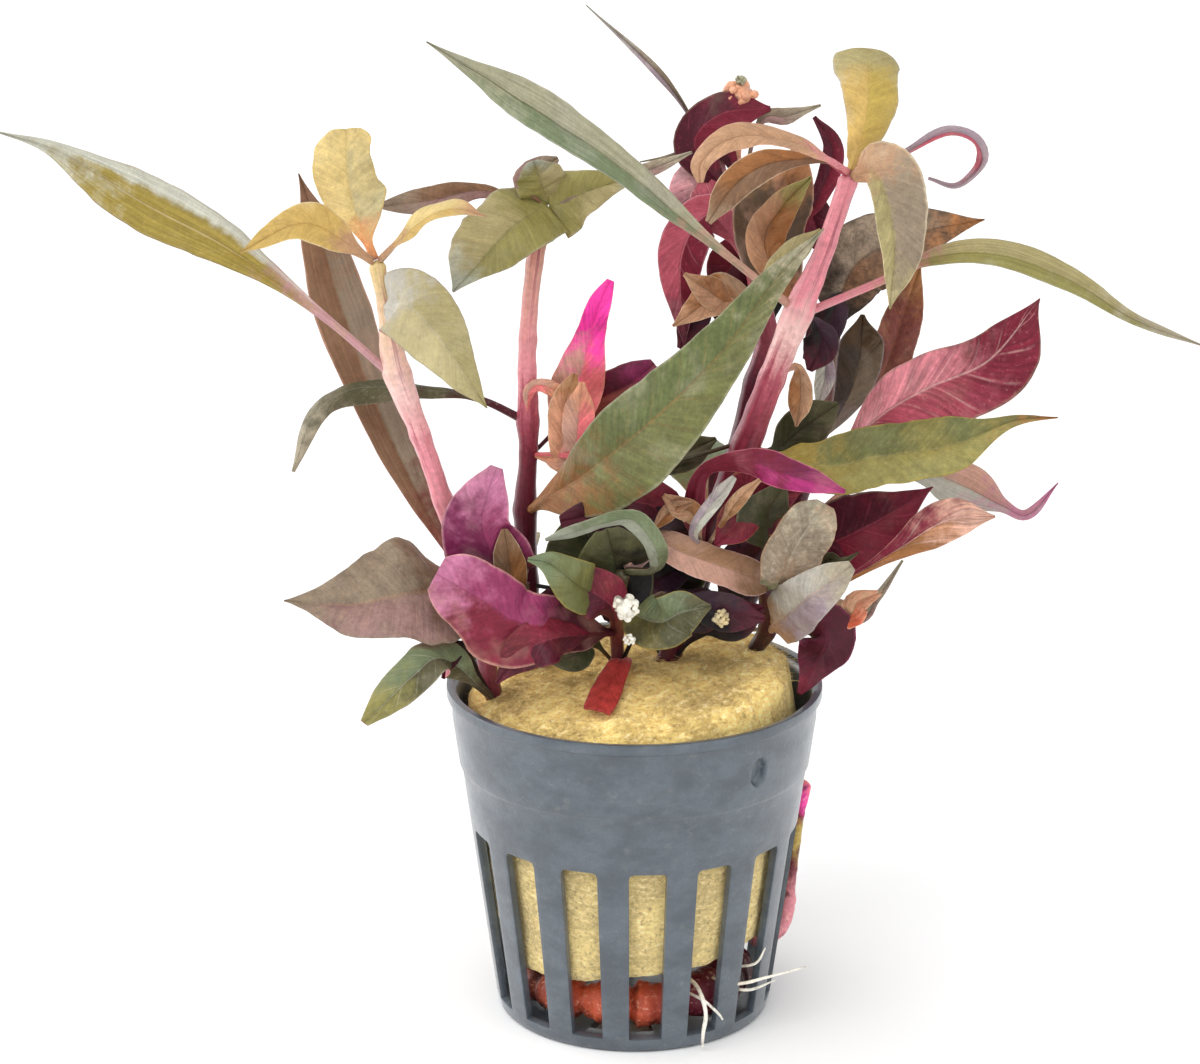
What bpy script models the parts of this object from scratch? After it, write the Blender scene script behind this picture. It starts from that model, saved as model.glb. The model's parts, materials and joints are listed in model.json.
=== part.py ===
"""A potted alternanthera rosaefolia: a slotted net pot, the mineral wool in it, seven stems, and their leaves.

Lengths in the tables are millimetres, and the objects are made in metres. The origin is the middle of the
pot's foot, +Z is up, and the plant's best side looks along -Y.
"""

import math
from typing import NamedTuple

import bmesh
import bpy
from mathutils import Matrix, Vector

MM = 0.001

# Driving dimensions of the pot, in millimetres and degrees
POT_HEIGHT = 48.4
RIM_RADIUS = 26.5
FOOT_RADIUS = 19.5
WALL = 1.05
FLOOR = 1.5
LIP_HEIGHT = 1.5
LIP_REACH = 0.65
LIP_SLOPE = 0.35
BAND_BOTTOM = 37.0
BAND_STEP = 0.3
BAND_SLOPE = 0.5
FOOT_CHAMFER = 0.6
POT_STEPS = 45

# The slots, counted round from the one nearest the front
SLOT_COUNT = 15
SLOT_BOTTOM = 2.1
SLOT_TOP = 28.4
SLOT_SPAN = 13.2
FIRST_SLOT = -85.7
SLOT_CORNER = 0.8
CUTTER_INSIDE = 6
CUTTER_OUTSIDE = 4
FLOOR_SLOT_COUNT = 7
FLOOR_SLOT_INNER = 7.0
FLOOR_SLOT_OUTER = 14.5
FLOOR_SLOT_WIDTH = 2.6

# The wool plug
WOOL_TOP_RADIUS = 22.7
WOOL_SHIFT = -0.8
WOOL_EDGE = 47.6
WOOL_DOME = 4.3
DOME_FLATNESS = 3
DOME_POWER = 0.55
WOOL_RIGHT_RISE = 1.4
WOOL_FRONT_FALL = 1.6
WOOL_BOTTOM = 11.3
WOOL_BOTTOM_RISE = 2.3
WOOL_CLEARANCE = 0.45
WOOL_STEPS = 24
LEVEL_ABOVE = 28

# The plants' place over the pot's foot, and their leaves and stems
PLANTS_AT = (0.7, 0.0, 0.4)
DEPTH_SPREAD = 1.5
SIGHT_FALL = 0.3
BLADE = 0.5
GAP = 0.4
LEAN_ALLOWANCE = 0.35
PETIOLE = 1.3
TIP = 0.5
BLUNT_POWER = 0.45
SHARP_POWER = 1.15
ROWS_PER_MM = 0.17
MIN_ROWS = 5
MAX_ROWS = 9
ACROSS = 4

# Colours are linear red, green and blue
COLOURS = {
    "slate": (0.085, 0.105, 0.13),
    "wool": (0.50, 0.37, 0.12),
    "olive": (0.36, 0.31, 0.11),
    "green": (0.16, 0.20, 0.08),
    "brown": (0.22, 0.13, 0.08),
    "grey": (0.28, 0.27, 0.18),
    "magenta": (0.24, 0.03, 0.12),
    "crimson": (0.15, 0.01, 0.03),
    "rose": (0.45, 0.09, 0.15),
    "tan": (0.50, 0.27, 0.19),
    "pink": (0.70, 0.22, 0.27),
    "hot_pink": (0.85, 0.06, 0.30),
    "orange_red": (0.55, 0.10, 0.06),
    "root": (0.80, 0.74, 0.66),
}


class Stem(NamedTuple):
    """A stem: its colour and its joints as x, y, z and radius. It starts on the wool, above its first joint."""

    colour: str
    joints: tuple


class Leaf(NamedTuple):
    """A leaf: the stem and joint it grows from, the route of its midrib, and the shape of its blade.

    belly is where along the blade it is widest, face is the way its upper side looks, and fold is the angle
    that each half rises by. A base_power under 1 rounds the end by the stalk.
    """

    stem: str
    joint: int
    colour: str
    width: float
    belly: float
    face: tuple
    path: tuple
    fold: float = 14.0
    stalk: float = 0.12
    blunt: bool = False
    base_power: float = 1.3


STEMS = {
    "stem_left": Stem("pink", (
        (-20.5, -3, 50, 1.2), (-23.5, -4, 63.5, 1.35), (-27, -5, 76, 1.3), (-30, -5, 85.5, 1.3),
        (-33, -6, 94.5, 1.75), (-34.5, -6, 103.5, 0.95), (-35.5, -6, 110, 1.1),
    )),
    "stem_middle": Stem("pink", (
        (-14.5, 1, 50, 1.2), (-15.5, 1, 62, 1.25), (-16, 1, 73, 1.5), (-15.5, 1, 81, 1.2),
        (-15.5, 1, 86, 1.45), (-15.5, 1, 97.5, 1.15), (-14.5, 2, 108, 1.1), (-12.8, 4, 115.5, 1.2),
    )),
    "stem_right": Stem("pink", (
        (4, -1, 50, 1.7), (9, -2, 68.5, 1.75), (14.5, -2, 83, 2.0), (18, -3, 93, 1.75),
        (21.5, -3, 102.5, 2.3), (25, -4, 112, 1.5), (28, -4, 121.5, 1.8),
    )),
    "stem_rosette": Stem("magenta", (
        (7.5, 9, 50, 1.3), (10.5, 9, 66, 1.3), (14, 9, 79.5, 1.35), (16, 9, 89, 1.25),
        (18, 9, 96.5, 1.4), (15.5, 10, 107, 1.1), (13.5, 10, 116, 1.3),
    )),
    "stem_back_right": Stem("magenta", (
        (13.5, 9, 50, 1.2), (19.5, 10, 64, 1.3), (24, 11, 75, 1.4), (27, 13, 86, 1.1),
        (27.5, 13, 96, 1.2),
    )),
    "stem_front": Stem("brown", (
        (-3, -1, 50, 0.9), (-3.2, -1.5, 56, 0.9), (-3.2, -5, 61, 1.0), (-2.5, -8, 67, 1.0),
    )),
    "stem_front_right": Stem("magenta", (
        (16.5, 1, 50, 1.1), (18, -0.5, 56.2, 1.2), (17.5, -3.5, 63.6, 1.1),
    )),
}

LEAVES = {
    # The left stem
    "leaf_left_long": Leaf("stem_left", 4, "olive", 9.0, 0.58, (0.1, -0.8, 0.6), (
        (-42.5, -7, 102.3), (-54.5, -8, 111.8), (-65.5, -9, 118.3), (-76, -10, 125), (-85, -11, 128.3),
    ), fold=22, stalk=0.16, base_power=1.6),
    "leaf_left_tall": Leaf("stem_left", 1, "brown", 8.5, 0.55, (0.3, -0.95, 0.1), (
        (-28.3, 3, 69), (-34.6, 4, 82), (-40.6, 6, 97.5), (-44.2, 6, 110.5), (-47, 5, 120),
    )),
    "leaf_left_upright": Leaf("stem_left", 6, "olive", 9.5, 0.6, (0, -1, 0.2), (
        (-39.2, -3, 118.5), (-39.9, 0, 127),
    ), blunt=True),
    "leaf_left_young": Leaf("stem_left", 6, "olive", 7.0, 0.5, (0, -0.8, 0.6), (
        (-44.5, -8, 115.5), (-53, -11, 112),
    )),
    "leaf_left_inner": Leaf("stem_left", 6, "olive", 6.0, 0.5, (0, -0.5, 0.85), (
        (-29.5, -8.5, 115.8), (-25, -10, 117.8), (-20.5, -11, 116.8),
    )),
    "leaf_left_hanging": Leaf("stem_left", 5, "grey", 10.5, 0.4, (0.2, -0.9, 0.4), (
        (-31.5, -10, 105), (-27, -12, 101), (-20.5, -14, 91.5),
    ), stalk=0.02, base_power=0.6),
    "leaf_middle_drooping": Leaf("stem_middle", 4, "green", 5.2, 0.5, (0, -0.6, 0.8), (
        (-22, 1.5, 88.7), (-27.5, 1, 89), (-35.5, 1, 88), (-42, 0, 86.8), (-48, -3, 79.5),
    ), stalk=0.25),
    # The middle stem
    "leaf_middle_broad": Leaf("stem_middle", 7, "grey", 11.0, 0.42, (-0.1, -0.85, 0.5), (
        (-17.5, 0, 113.5), (-25.5, -3, 105),
    ), blunt=True, stalk=0.02, base_power=0.5),
    "leaf_middle_right": Leaf("stem_middle", 7, "green", 6.5, 0.4, (0, -0.9, 0.4), (
        (-7.5, 2.5, 118), (-2, 1, 118),
    )),
    "leaf_large_front": Leaf("stem_middle", 2, "green", 13.8, 0.42, (-0.2, -0.9, 0.35), (
        (-7, -8, 81.5), (2, -12, 90), (10.5, -13, 99), (17.5, -12, 108.5), (24, -10, 115),
    ), fold=10, stalk=0.05),
    "shoot_pink": Leaf("stem_middle", 3, "hot_pink", 7.5, 0.35, (0, -1, 0.1), (
        (-10.5, 1, 88.5), (-7.5, 1, 96.5), (-4, 0, 106),
    ), fold=38),
    # The right stem
    "leaf_right_high": Leaf("stem_right", 4, "grey", 6.4, 0.55, (0.2, -0.8, 0.55), (
        (8, -6, 113.5), (-2.5, -8, 122.8), (-13.5, -10, 130.8), (-28, -12, 140),
    ), stalk=0.18),
    "leaf_right_far": Leaf("stem_right", 4, "olive", 6.2, 0.42, (0, -0.8, 0.6), (
        (32, -4, 106.5), (39.5, -6, 110.5), (48, -8, 111.2), (57.5, -9, 107.6), (65.5, -9, 102.6),
        (75.5, -8, 98.5),
    ), stalk=0.18),
    "leaf_right_upright": Leaf("stem_right", 6, "olive", 9.5, 0.65, (0.1, -1, 0.1), (
        (30.3, -1.5, 129.5), (30.5, 2, 137.5),
    ), blunt=True),
    "leaf_right_hanging": Leaf("stem_right", 6, "olive", 8.0, 0.45, (0.2, -1, 0.3), (
        (34.5, -9, 121.5), (35.5, -11, 116), (32.5, -12, 105.5),
    )),
    "leaf_right_arching": Leaf("stem_right", 6, "tan", 6.0, 0.55, (0, -0.5, 0.85), (
        (21.5, -8, 126), (15.5, -10, 127.5), (7.5, -12, 127),
    ), blunt=True),
    "leaf_right_dark": Leaf("stem_right", 4, "brown", 10.0, 0.55, (0, -1, 0.2), (
        (18.5, 3.5, 107.5), (18, 4, 115), (21.5, 4, 123.5),
    )),
    "shoot_right": Leaf("stem_right", 4, "tan", 6.0, 0.5, (0, -1, 0.2), (
        (17, 1, 110.5), (19, -0.5, 116), (23, -1, 120.5),
    ), fold=36),
    "tendril_right": Leaf("stem_right", 6, "rose", 1.8, 0.5, (0, -0.6, 0.8), (
        (35.5, -3, 124), (41.5, -2.5, 126.8), (46.5, -2, 124.6), (41.5, -1, 120),
    )),
    # The rosette behind it
    "leaf_rosette_arc": Leaf("stem_rosette", 6, "crimson", 4.0, 0.5, (0, 0.9, -0.2), (
        (7.5, 7, 123.5), (11, 7, 128), (18, 9, 128.5),
    )),
    "leaf_rosette_left": Leaf("stem_rosette", 5, "crimson", 6.5, 0.5, (0, 0.95, -0.1), (
        (9.7, 7, 114), (5.7, 6, 108), (6.2, 5, 95.5),
    )),
    "leaf_rosette_thin": Leaf("stem_rosette", 6, "rose", 1.8, 0.5, (0, -1, 0.3), (
        (8.5, 13, 122), (7, 12, 127), (2, 9, 134), (-7.5, 8, 143),
    )),
    "leaf_rosette_tan": Leaf("stem_rosette", 4, "tan", 6.0, 0.45, (0, -0.8, 0.6), (
        (12, 5, 103), (4.5, 2.5, 99),
    )),
    # The right-hand stem at the back
    "leaf_back_mottled": Leaf("stem_back_right", 4, "brown", 10.5, 0.45, (0, -0.9, 0.4), (
        (30, 9, 106), (38, 10, 110.5), (48.5, 11, 112.5),
    ), stalk=0.05),
    "leaf_back_red": Leaf("stem_back_right", 3, "brown", 6.5, 0.55, (0.3, -0.9, 0.2), (
        (34, 12, 88), (37.5, 13, 97.5), (40, 13, 106),
    )),
    "leaf_back_grey": Leaf("stem_rosette", 2, "grey", 6.5, 0.75, (0, -1, 0.1), (
        (22, 8.5, 79.5), (28, 9.5, 84), (31, 10, 91), (31.5, 10, 99),
    ), stalk=0.3),
    "leaf_side_rose": Leaf("stem_back_right", 2, "rose", 12.0, 0.55, (0.1, 0.9, -0.4), (
        (34, 5, 85.5), (40.5, 4, 89.8), (48.5, 3, 94), (55, 2, 103),
    ), stalk=0.2),
    "leaf_side_crimson": Leaf("stem_back_right", 1, "crimson", 10.0, 0.45, (0, 0.9, -0.3), (
        (26, 2, 67.5), (33, 0, 71.5), (40.5, -1.5, 77),
    ), stalk=0.2),
    "leaf_side_curled": Leaf("stem_back_right", 1, "tan", 5.0, 0.5, (0, -0.9, 0.4), (
        (30, 9, 73.5), (39, 6, 77.2), (45, 1, 76.5), (50, -2, 74.5), (53.5, -3, 73.5), (57.5, -3, 78),
    ), stalk=0.35),
    # Leaves low on the right
    "leaf_side_green": Leaf("stem_right", 2, "green", 10.0, 0.5, (0, -0.8, 0.6), (
        (24.5, -4.5, 80.9), (32.5, -6, 82.9), (42, -8, 84.9), (50, -9, 88.4), (56, -9, 88.9),
    ), stalk=0.15),
    "leaf_side_magenta": Leaf("stem_right", 1, "magenta", 5.0, 0.5, (0, 0.9, 0.1), (
        (8, -6.5, 79), (11, -8, 82), (17.5, -10, 82.5), (26.5, -11, 79.5),
    ), stalk=0.05),
    "leaf_side_striped": Leaf("stem_front_right", 2, "brown", 5.0, 0.7, (0, -0.9, 0.4), (
        (23, -2.5, 61), (29, -5.5, 65.2), (35, -8, 70), (41.5, -9, 74.5), (48, -9, 75),
    ), stalk=0.4),
    "leaf_side_low": Leaf("stem_front_right", 1, "magenta", 8.0, 0.4, (0, 0.9, 0.2), (
        (24, -1, 57.6), (26, 0, 53.5), (23.7, 1, 49),
    )),
    "leaf_front_tan": Leaf("stem_front", 3, "tan", 8.5, 0.5, (0, 0.8, -0.6), (
        (3.5, -7, 69.2), (10.5, -9, 67.2), (20.5, -11, 62.8),
    ), stalk=0.05),
    "leaf_front_olive": Leaf("stem_front_right", 2, "grey", 8.0, 0.5, (0.2, -0.95, 0.2), (
        (21, -7, 69.6), (25.5, -8, 77.3),
    )),
    "leaf_front_pale": Leaf("stem_front_right", 1, "grey", 8.0, 0.5, (0, -0.9, 0.4), (
        (22.5, -10, 63.6), (28.5, -11, 68.7),
    )),
    # Leaves low on the left
    "leaf_low_broad": Leaf("stem_left", 1, "grey", 18.5, 0.4, (0, -0.7, 0.7), (
        (-30.5, -9, 64.7), (-40, -12, 63.7), (-48, -14, 64.7),
    ), stalk=0.05),
    "leaf_low_drooping": Leaf("stem_left", 0, "green", 6.5, 0.55, (-0.2, -0.8, 0.5), (
        (-27, -12, 56), (-31, -16, 54.5), (-37, -20, 49.5),
    ), stalk=0.2, blunt=True),
    "leaf_low_magenta": Leaf("stem_front", 1, "magenta", 12.5, 0.55, (0, 0.9, -0.3), (
        (-12.5, -11, 59.7), (-20.5, -12, 63.5), (-28, -12, 69.6),
    ), stalk=0.05, blunt=True),
    "leaf_low_upright": Leaf("stem_middle", 1, "magenta", 11.0, 0.5, (0, 1, 0), (
        (-18.8, -7, 66), (-21.8, -9.5, 74), (-19.3, -8.5, 82),
    ), stalk=0.1, blunt=True),
    # The short front stem
    "leaf_front_hood": Leaf("stem_front", 3, "green", 8.0, 0.5, (0, 0.7, 0.7), (
        (-1.5, -11.5, 72.1), (-5, -12, 74.8), (-12.5, -12.5, 72.9),
    )),
    "leaf_front_green": Leaf("stem_front", 2, "green", 7.0, 0.5, (0, -0.9, 0.4), (
        (-8.5, -13, 67.2), (-15.5, -14.5, 71.7),
    )),
    "leaf_front_folded": Leaf("stem_front", 2, "green", 7.5, 0.5, (0.3, -0.9, 0.3), (
        (4, -11.5, 60.3), (9.5, -13, 66),
    ), fold=30),
    "leaf_on_wool": Leaf("stem_front", 0, "crimson", 4.6, 0.7, (0, -0.6, 0.8), (
        (-5, -6.7, 50.2), (-6.5, -12, 47.7),
    ), blunt=True),
    # Leaves on the far side
    "leaf_far_middle": Leaf("stem_rosette", 1, "green", 10.0, 0.5, (0, -0.3, 0.95), (
        (9.5, 14, 72), (8, 21, 77), (5, 27, 74),
    ), stalk=0.15),
    "leaf_far_left": Leaf("stem_middle", 1, "olive", 9.0, 0.5, (0, 0.3, 0.95), (
        (-17.5, 9, 66), (-21, 16, 65), (-24, 21, 60),
    ), stalk=0.15),
    "leaf_far_right": Leaf("stem_back_right", 1, "magenta", 8.5, 0.5, (0.2, 0.5, 0.8), (
        (23, 14, 67), (27, 20, 66), (30, 25, 60),
    ), stalk=0.15),
}

# Tubes that don't carry leaves: x, y, z and radius
STEM_ENDS = (
    (-14.5, 2, 5.4, 2.6), (-13.5, -6, 5.2, 3.1), (-8.5, -11.5, 5.0, 2.7), (-1, -14, 5.2, 3.2),
    (5, -13.3, 5.1, 2.7), (10.5, -10, 5.5, 3.2), (14, -4, 6.0, 3.0), (13.8, 1, 5.2, 2.2),
)
ROOT = (
    (7.2, -13.4, 9.2, 0.35), (8.9, -16.6, 8.6, 0.4), (9.9, -18.9, 6.0, 0.42), (9.6, -19.2, 3.2, 0.38),
    (9.4, -19.0, 0.7, 0.3),
)
SPRIG_RADIUS = 1.1
SPRIG = ((17.4, 10.3, 7.6), (19.8, 10.3, 7.8), (22.3, 12, 10.5), (23.4, 16, 17), (24.5, 20, 24), (25.5, 22, 31))


def wall_radius(height):
    """The pot's outer radius below its lip, in millimetres."""
    top = RIM_RADIUS - LIP_REACH
    return FOOT_RADIUS + (top - FOOT_RADIUS) * height / (POT_HEIGHT - LIP_HEIGHT)


def wool_top(x, y):
    """The height of the wool's domed top over a point, in millimetres."""
    out = min(1.0, math.hypot(x - WOOL_SHIFT, y) / WOOL_TOP_RADIUS)
    fall = WOOL_FRONT_FALL * max(0.0, -y / WOOL_TOP_RADIUS)
    rise = WOOL_RIGHT_RISE * x / WOOL_TOP_RADIUS
    return WOOL_EDGE + WOOL_DOME * (1 - out**DOME_FLATNESS) ** DOME_POWER + rise - fall


def smooth_route(points, count):
    """Evenly spaced points on a smooth curve through the given ones. Each may carry more than three values."""
    ends = [[2 * a - b for a, b in zip(points[0], points[1])], [2 * a - b for a, b in zip(points[-1], points[-2])]]
    knots = [ends[0], *points, ends[1]]
    fine = []
    per_span = 12
    for i in range(1, len(knots) - 2):
        p0, p1, p2, p3 = knots[i - 1 : i + 3]
        for step in range(per_span):
            t = step / per_span
            fine.append([
                0.5 * (2 * b + (c - a) * t + (2 * a - 5 * b + 4 * c - d) * t * t + (3 * b - a - 3 * c + d) * t**3)
                for a, b, c, d in zip(p0, p1, p2, p3)
            ])
    fine.append(list(points[-1]))
    reach = [0.0]
    for a, b in zip(fine, fine[1:]):
        reach.append(reach[-1] + math.dist(a[:3], b[:3]))
    route = []
    i = 0
    for step in range(count):
        wanted = reach[-1] * step / (count - 1)
        while i < len(fine) - 2 and reach[i + 1] < wanted:
            i += 1
        t = (wanted - reach[i]) / (reach[i + 1] - reach[i])
        route.append([a + (b - a) * t for a, b in zip(fine[i], fine[i + 1])])
    return route


def material(name, colour, roughness):
    """A plain Principled material in one of the named colours."""
    made = bpy.data.materials.new(name)
    made.use_nodes = True
    shader = made.node_tree.nodes["Principled BSDF"]
    shader.inputs["Base Color"].default_value = (*COLOURS[colour], 1.0)
    shader.inputs["Roughness"].default_value = roughness
    return made


def add_object(name, data, collection, colour, roughness=0.5):
    made = bpy.data.objects.new(name, data)
    data.materials.append(material(name, colour, roughness))
    collection.objects.link(made)
    return made


def mesh_from(bm, name):
    mesh = bpy.data.meshes.new(name)
    bm.to_mesh(mesh)
    bm.free()
    return mesh


def pot_profile():
    """The pot's wall from the middle of its floor, over the lip and down to the middle of its foot."""
    under_lip = POT_HEIGHT - LIP_HEIGHT
    return [
        (0, FLOOR), (FOOT_RADIUS - WALL, FLOOR), (wall_radius(under_lip) - WALL, under_lip),
        (RIM_RADIUS - WALL, POT_HEIGHT), (RIM_RADIUS, POT_HEIGHT), (RIM_RADIUS, under_lip),
        (wall_radius(under_lip), under_lip - LIP_SLOPE), (wall_radius(BAND_BOTTOM) + BAND_STEP, BAND_BOTTOM),
        (wall_radius(BAND_BOTTOM), BAND_BOTTOM - BAND_SLOPE), (FOOT_RADIUS, FOOT_CHAMFER),
        (FOOT_RADIUS - FOOT_CHAMFER, 0), (0, 0),
    ]


def slot_cutters():
    """One mesh of tapered blocks that reach through the wall, and of bars through the floor."""
    bm = bmesh.new()
    inner, outer = FOOT_RADIUS - CUTTER_INSIDE, RIM_RADIUS + CUTTER_OUTSIDE
    for number in range(SLOT_COUNT):
        block = bmesh.ops.create_cube(bm, size=1.0)["verts"]
        for v in block:
            height = SLOT_TOP if v.co.z > 0 else SLOT_BOTTOM
            half = wall_radius(height) * math.tan(math.radians(SLOT_SPAN / 2))
            v.co = (inner if v.co.x < 0 else outer, math.copysign(half, v.co.y), height)
        tops = [e for e in bm.edges if e.verts[0] in block and e.verts[1] in block
                and min(e.verts[0].co.z, e.verts[1].co.z) > SLOT_TOP - 0.1
                and abs(e.verts[0].co.x - e.verts[1].co.x) > 1]
        made = bmesh.ops.bevel(bm, geom=tops, offset=SLOT_CORNER, segments=2, profile=0.5,
                               affect="EDGES", offset_type="OFFSET", material=-1)
        turned = {v for v in block if v.is_valid} | set(made["verts"])
        angle = math.radians(FIRST_SLOT + number * 360 / SLOT_COUNT)
        turn_about_axis(bm, turned, angle)
    for number in range(FLOOR_SLOT_COUNT):
        bar = bmesh.ops.create_cube(bm, size=1.0)["verts"]
        for v in bar:
            v.co = (
                FLOOR_SLOT_INNER if v.co.x < 0 else FLOOR_SLOT_OUTER,
                math.copysign(FLOOR_SLOT_WIDTH / 2, v.co.y),
                math.copysign(FLOOR * 2, v.co.z),
            )
        turn_about_axis(bm, bar, 2 * math.pi * (number + 0.5) / FLOOR_SLOT_COUNT)
    bmesh.ops.scale(bm, vec=(MM, MM, MM), verts=bm.verts)
    return mesh_from(bm, "slot_cutters")


def turn_about_axis(bm, verts, angle):
    bmesh.ops.rotate(bm, cent=(0, 0, 0), matrix=Matrix.Rotation(angle, 3, "Z"), verts=list(verts))


def make_pot(collection, cutters):
    """The net pot: a turned wall with the slots cut through it."""
    bm = bmesh.new()
    points = [bm.verts.new((r * MM, 0, z * MM)) for r, z in pot_profile()]
    for a, b in zip(points, points[1:]):
        bm.edges.new((a, b))
    pot = add_object("net_pot", mesh_from(bm, "net_pot"), collection, "slate", 0.45)
    screw = pot.modifiers.new("turn", "SCREW")
    screw.axis = "Z"
    screw.steps = screw.render_steps = POT_STEPS
    screw.use_merge_vertices = True
    screw.merge_threshold = 0.00001
    cutter = bpy.data.objects.new("slot_cutters", slot_cutters())
    cutter.hide_render = True
    cutter.display_type = "WIRE"
    cutters.objects.link(cutter)
    cut = pot.modifiers.new("slots", "BOOLEAN")
    cut.operation = "DIFFERENCE"
    cut.object = cutter
    return pot


def make_wool(collection):
    """The wool plug: rings that follow the pot's inside, closed by a domed top and a slanting underside."""
    side_heights = (WOOL_BOTTOM, WOOL_BOTTOM + 3, LEVEL_ABOVE, 40)
    rings = [(0.0, 0.0, "bottom"), (0.6, 0.0, "bottom")]
    rings += [(1.0, height, "side") for height in side_heights]
    rings += [(share, 0.0, "top") for share in (1.0, 0.97, 0.86, 0.62, 0.32, 0.0)]
    bm = bmesh.new()
    profile = [bm.verts.new((share, 0, index)) for index, (share, _, _) in enumerate(rings)]
    edges = [bm.edges.new(pair) for pair in zip(profile, profile[1:])]
    bmesh.ops.spin(bm, geom=profile + edges, cent=(0, 0, 0), axis=(0, 0, 1), angle=2 * math.pi,
                   steps=WOOL_STEPS, use_merge=True)
    bmesh.ops.remove_doubles(bm, verts=bm.verts, dist=0.0001)
    for v in bm.verts:
        share, height, kind = rings[round(v.co.z)]
        away = Vector((v.co.x, v.co.y))
        if kind == "top":
            x = away.x * WOOL_TOP_RADIUS + WOOL_SHIFT
            y = away.y * WOOL_TOP_RADIUS
            v.co = (x, y, wool_top(x, y))
            continue
        z = max(height, WOOL_BOTTOM) + (WOOL_BOTTOM_RISE * away.x if height < LEVEL_ABOVE else 0.0)
        radius = wall_radius(z) - WALL - WOOL_CLEARANCE
        v.co = (away.x * radius, away.y * radius, z)
    bmesh.ops.recalc_face_normals(bm, faces=bm.faces)
    bmesh.ops.scale(bm, vec=(MM, MM, MM), verts=bm.verts)
    wool = add_object("wool_plug", mesh_from(bm, "wool_plug"), collection, "wool", 0.95)
    wool.data.shade_smooth()
    return wool


def make_tube(name, points, collection, colour, spacing=7.0):
    """A round tube along a smooth route through points of x, y, z and radius."""
    length = sum(math.dist(a[:3], b[:3]) for a, b in zip(points, points[1:]))
    route = smooth_route(points, max(len(points) + 1, round(length / spacing) + 2))
    curve = bpy.data.curves.new(name, "CURVE")
    curve.dimensions = "3D"
    curve.bevel_depth = MM
    curve.bevel_resolution = 2
    curve.use_fill_caps = True
    spline = curve.splines.new("POLY")
    spline.points.add(len(route) - 1)
    for point, (x, y, z, radius) in zip(spline.points, route):
        point.co = (x * MM, y * MM, z * MM, 1.0)
        point.radius = radius
    return add_object(name, curve, collection, colour, 0.45)


def over_pot(place):
    """A place of the plants' own in the pot's frame. Its depth is drawn out along a line that falls away
    from the front, so the plants keep their outline from there.
    """
    x, y, z = place
    deeper = y * (DEPTH_SPREAD - 1)
    return x + PLANTS_AT[0], y + deeper + PLANTS_AT[1], z - deeper * SIGHT_FALL + PLANTS_AT[2]


def stem_joints(stem):
    """The stem's joints, with the first one set just above the wool."""
    joints = [[*over_pot(joint[:3]), joint[3]] for joint in stem.joints]
    x, y, _, radius = joints[0]
    joints[0][2] = wool_top(x, y) + GAP + radius * LEAN_ALLOWANCE
    return joints


def leaf_start(leaf):
    """Where the leaf's stalk begins: beside its joint, clear of the stem by the gap."""
    joints = stem_joints(STEMS[leaf.stem])
    here = Vector(joints[leaf.joint][:3])
    before = Vector(joints[max(leaf.joint - 1, 0)][:3])
    after = Vector(joints[min(leaf.joint + 1, len(joints) - 1)][:3])
    along = (after - before).normalized()
    way = Vector(over_pot(leaf.path[0])) - here
    aside = (way - way.dot(along) * along).normalized()
    return here + aside * (joints[leaf.joint][3] + GAP + BLADE / 2)


def half_width(leaf, share):
    """Half the blade's width at a share of the way from the stalk's start to the tip."""
    if share <= leaf.stalk:
        return PETIOLE / 2
    along = (share - leaf.stalk) / (1 - leaf.stalk)
    if along < leaf.belly:
        full = math.sin(along / leaf.belly * math.pi / 2) ** leaf.base_power
        return max(PETIOLE / 2, full * leaf.width / 2)
    power = BLUNT_POWER if leaf.blunt else SHARP_POWER
    full = math.sin((1 - along) / (1 - leaf.belly) * math.pi / 2) ** power
    return max(TIP / 2, full * leaf.width / 2)


def make_leaf(name, leaf, collection):
    """A thin folded blade: a grid bent along the midrib's route and given its thickness."""
    points = [tuple(leaf_start(leaf)), *(over_pot(place) for place in leaf.path)]
    length = sum(math.dist(a, b) for a, b in zip(points, points[1:]))
    rows = min(MAX_ROWS, max(MIN_ROWS, round(length * ROWS_PER_MM)))
    route = [Vector(p) for p in smooth_route(points, rows + 1)]
    face = Vector(leaf.face)
    fold = math.radians(leaf.fold)
    bm = bmesh.new()
    bmesh.ops.create_grid(bm, x_segments=rows, y_segments=ACROSS, size=1.0)
    for v in bm.verts:
        row = round((v.co.x + 1) / 2 * rows)
        across = v.co.y
        along = (route[min(row + 1, rows)] - route[max(row - 1, 0)]).normalized()
        side = along.cross(face).normalized()
        up = side.cross(along).normalized()
        reach = half_width(leaf, row / rows)
        lift = (abs(across) - 0.5) * reach * math.sin(fold)
        v.co = route[row] + side * across * reach * math.cos(fold) + up * lift
    bmesh.ops.scale(bm, vec=(MM, MM, MM), verts=bm.verts)
    blade = add_object(name, mesh_from(bm, name), collection, leaf.colour, 0.5)
    blade.data.shade_smooth()
    thicken = blade.modifiers.new("thickness", "SOLIDIFY")
    thicken.thickness = BLADE * MM
    thicken.offset = 0.0
    return blade


def sprig_points():
    """The sprig's route beside the wall, from polar places round the pot."""
    return [
        (r * math.cos(math.radians(turn)), r * math.sin(math.radians(turn)), z, SPRIG_RADIUS)
        for r, turn, z in SPRIG
    ]


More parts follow.
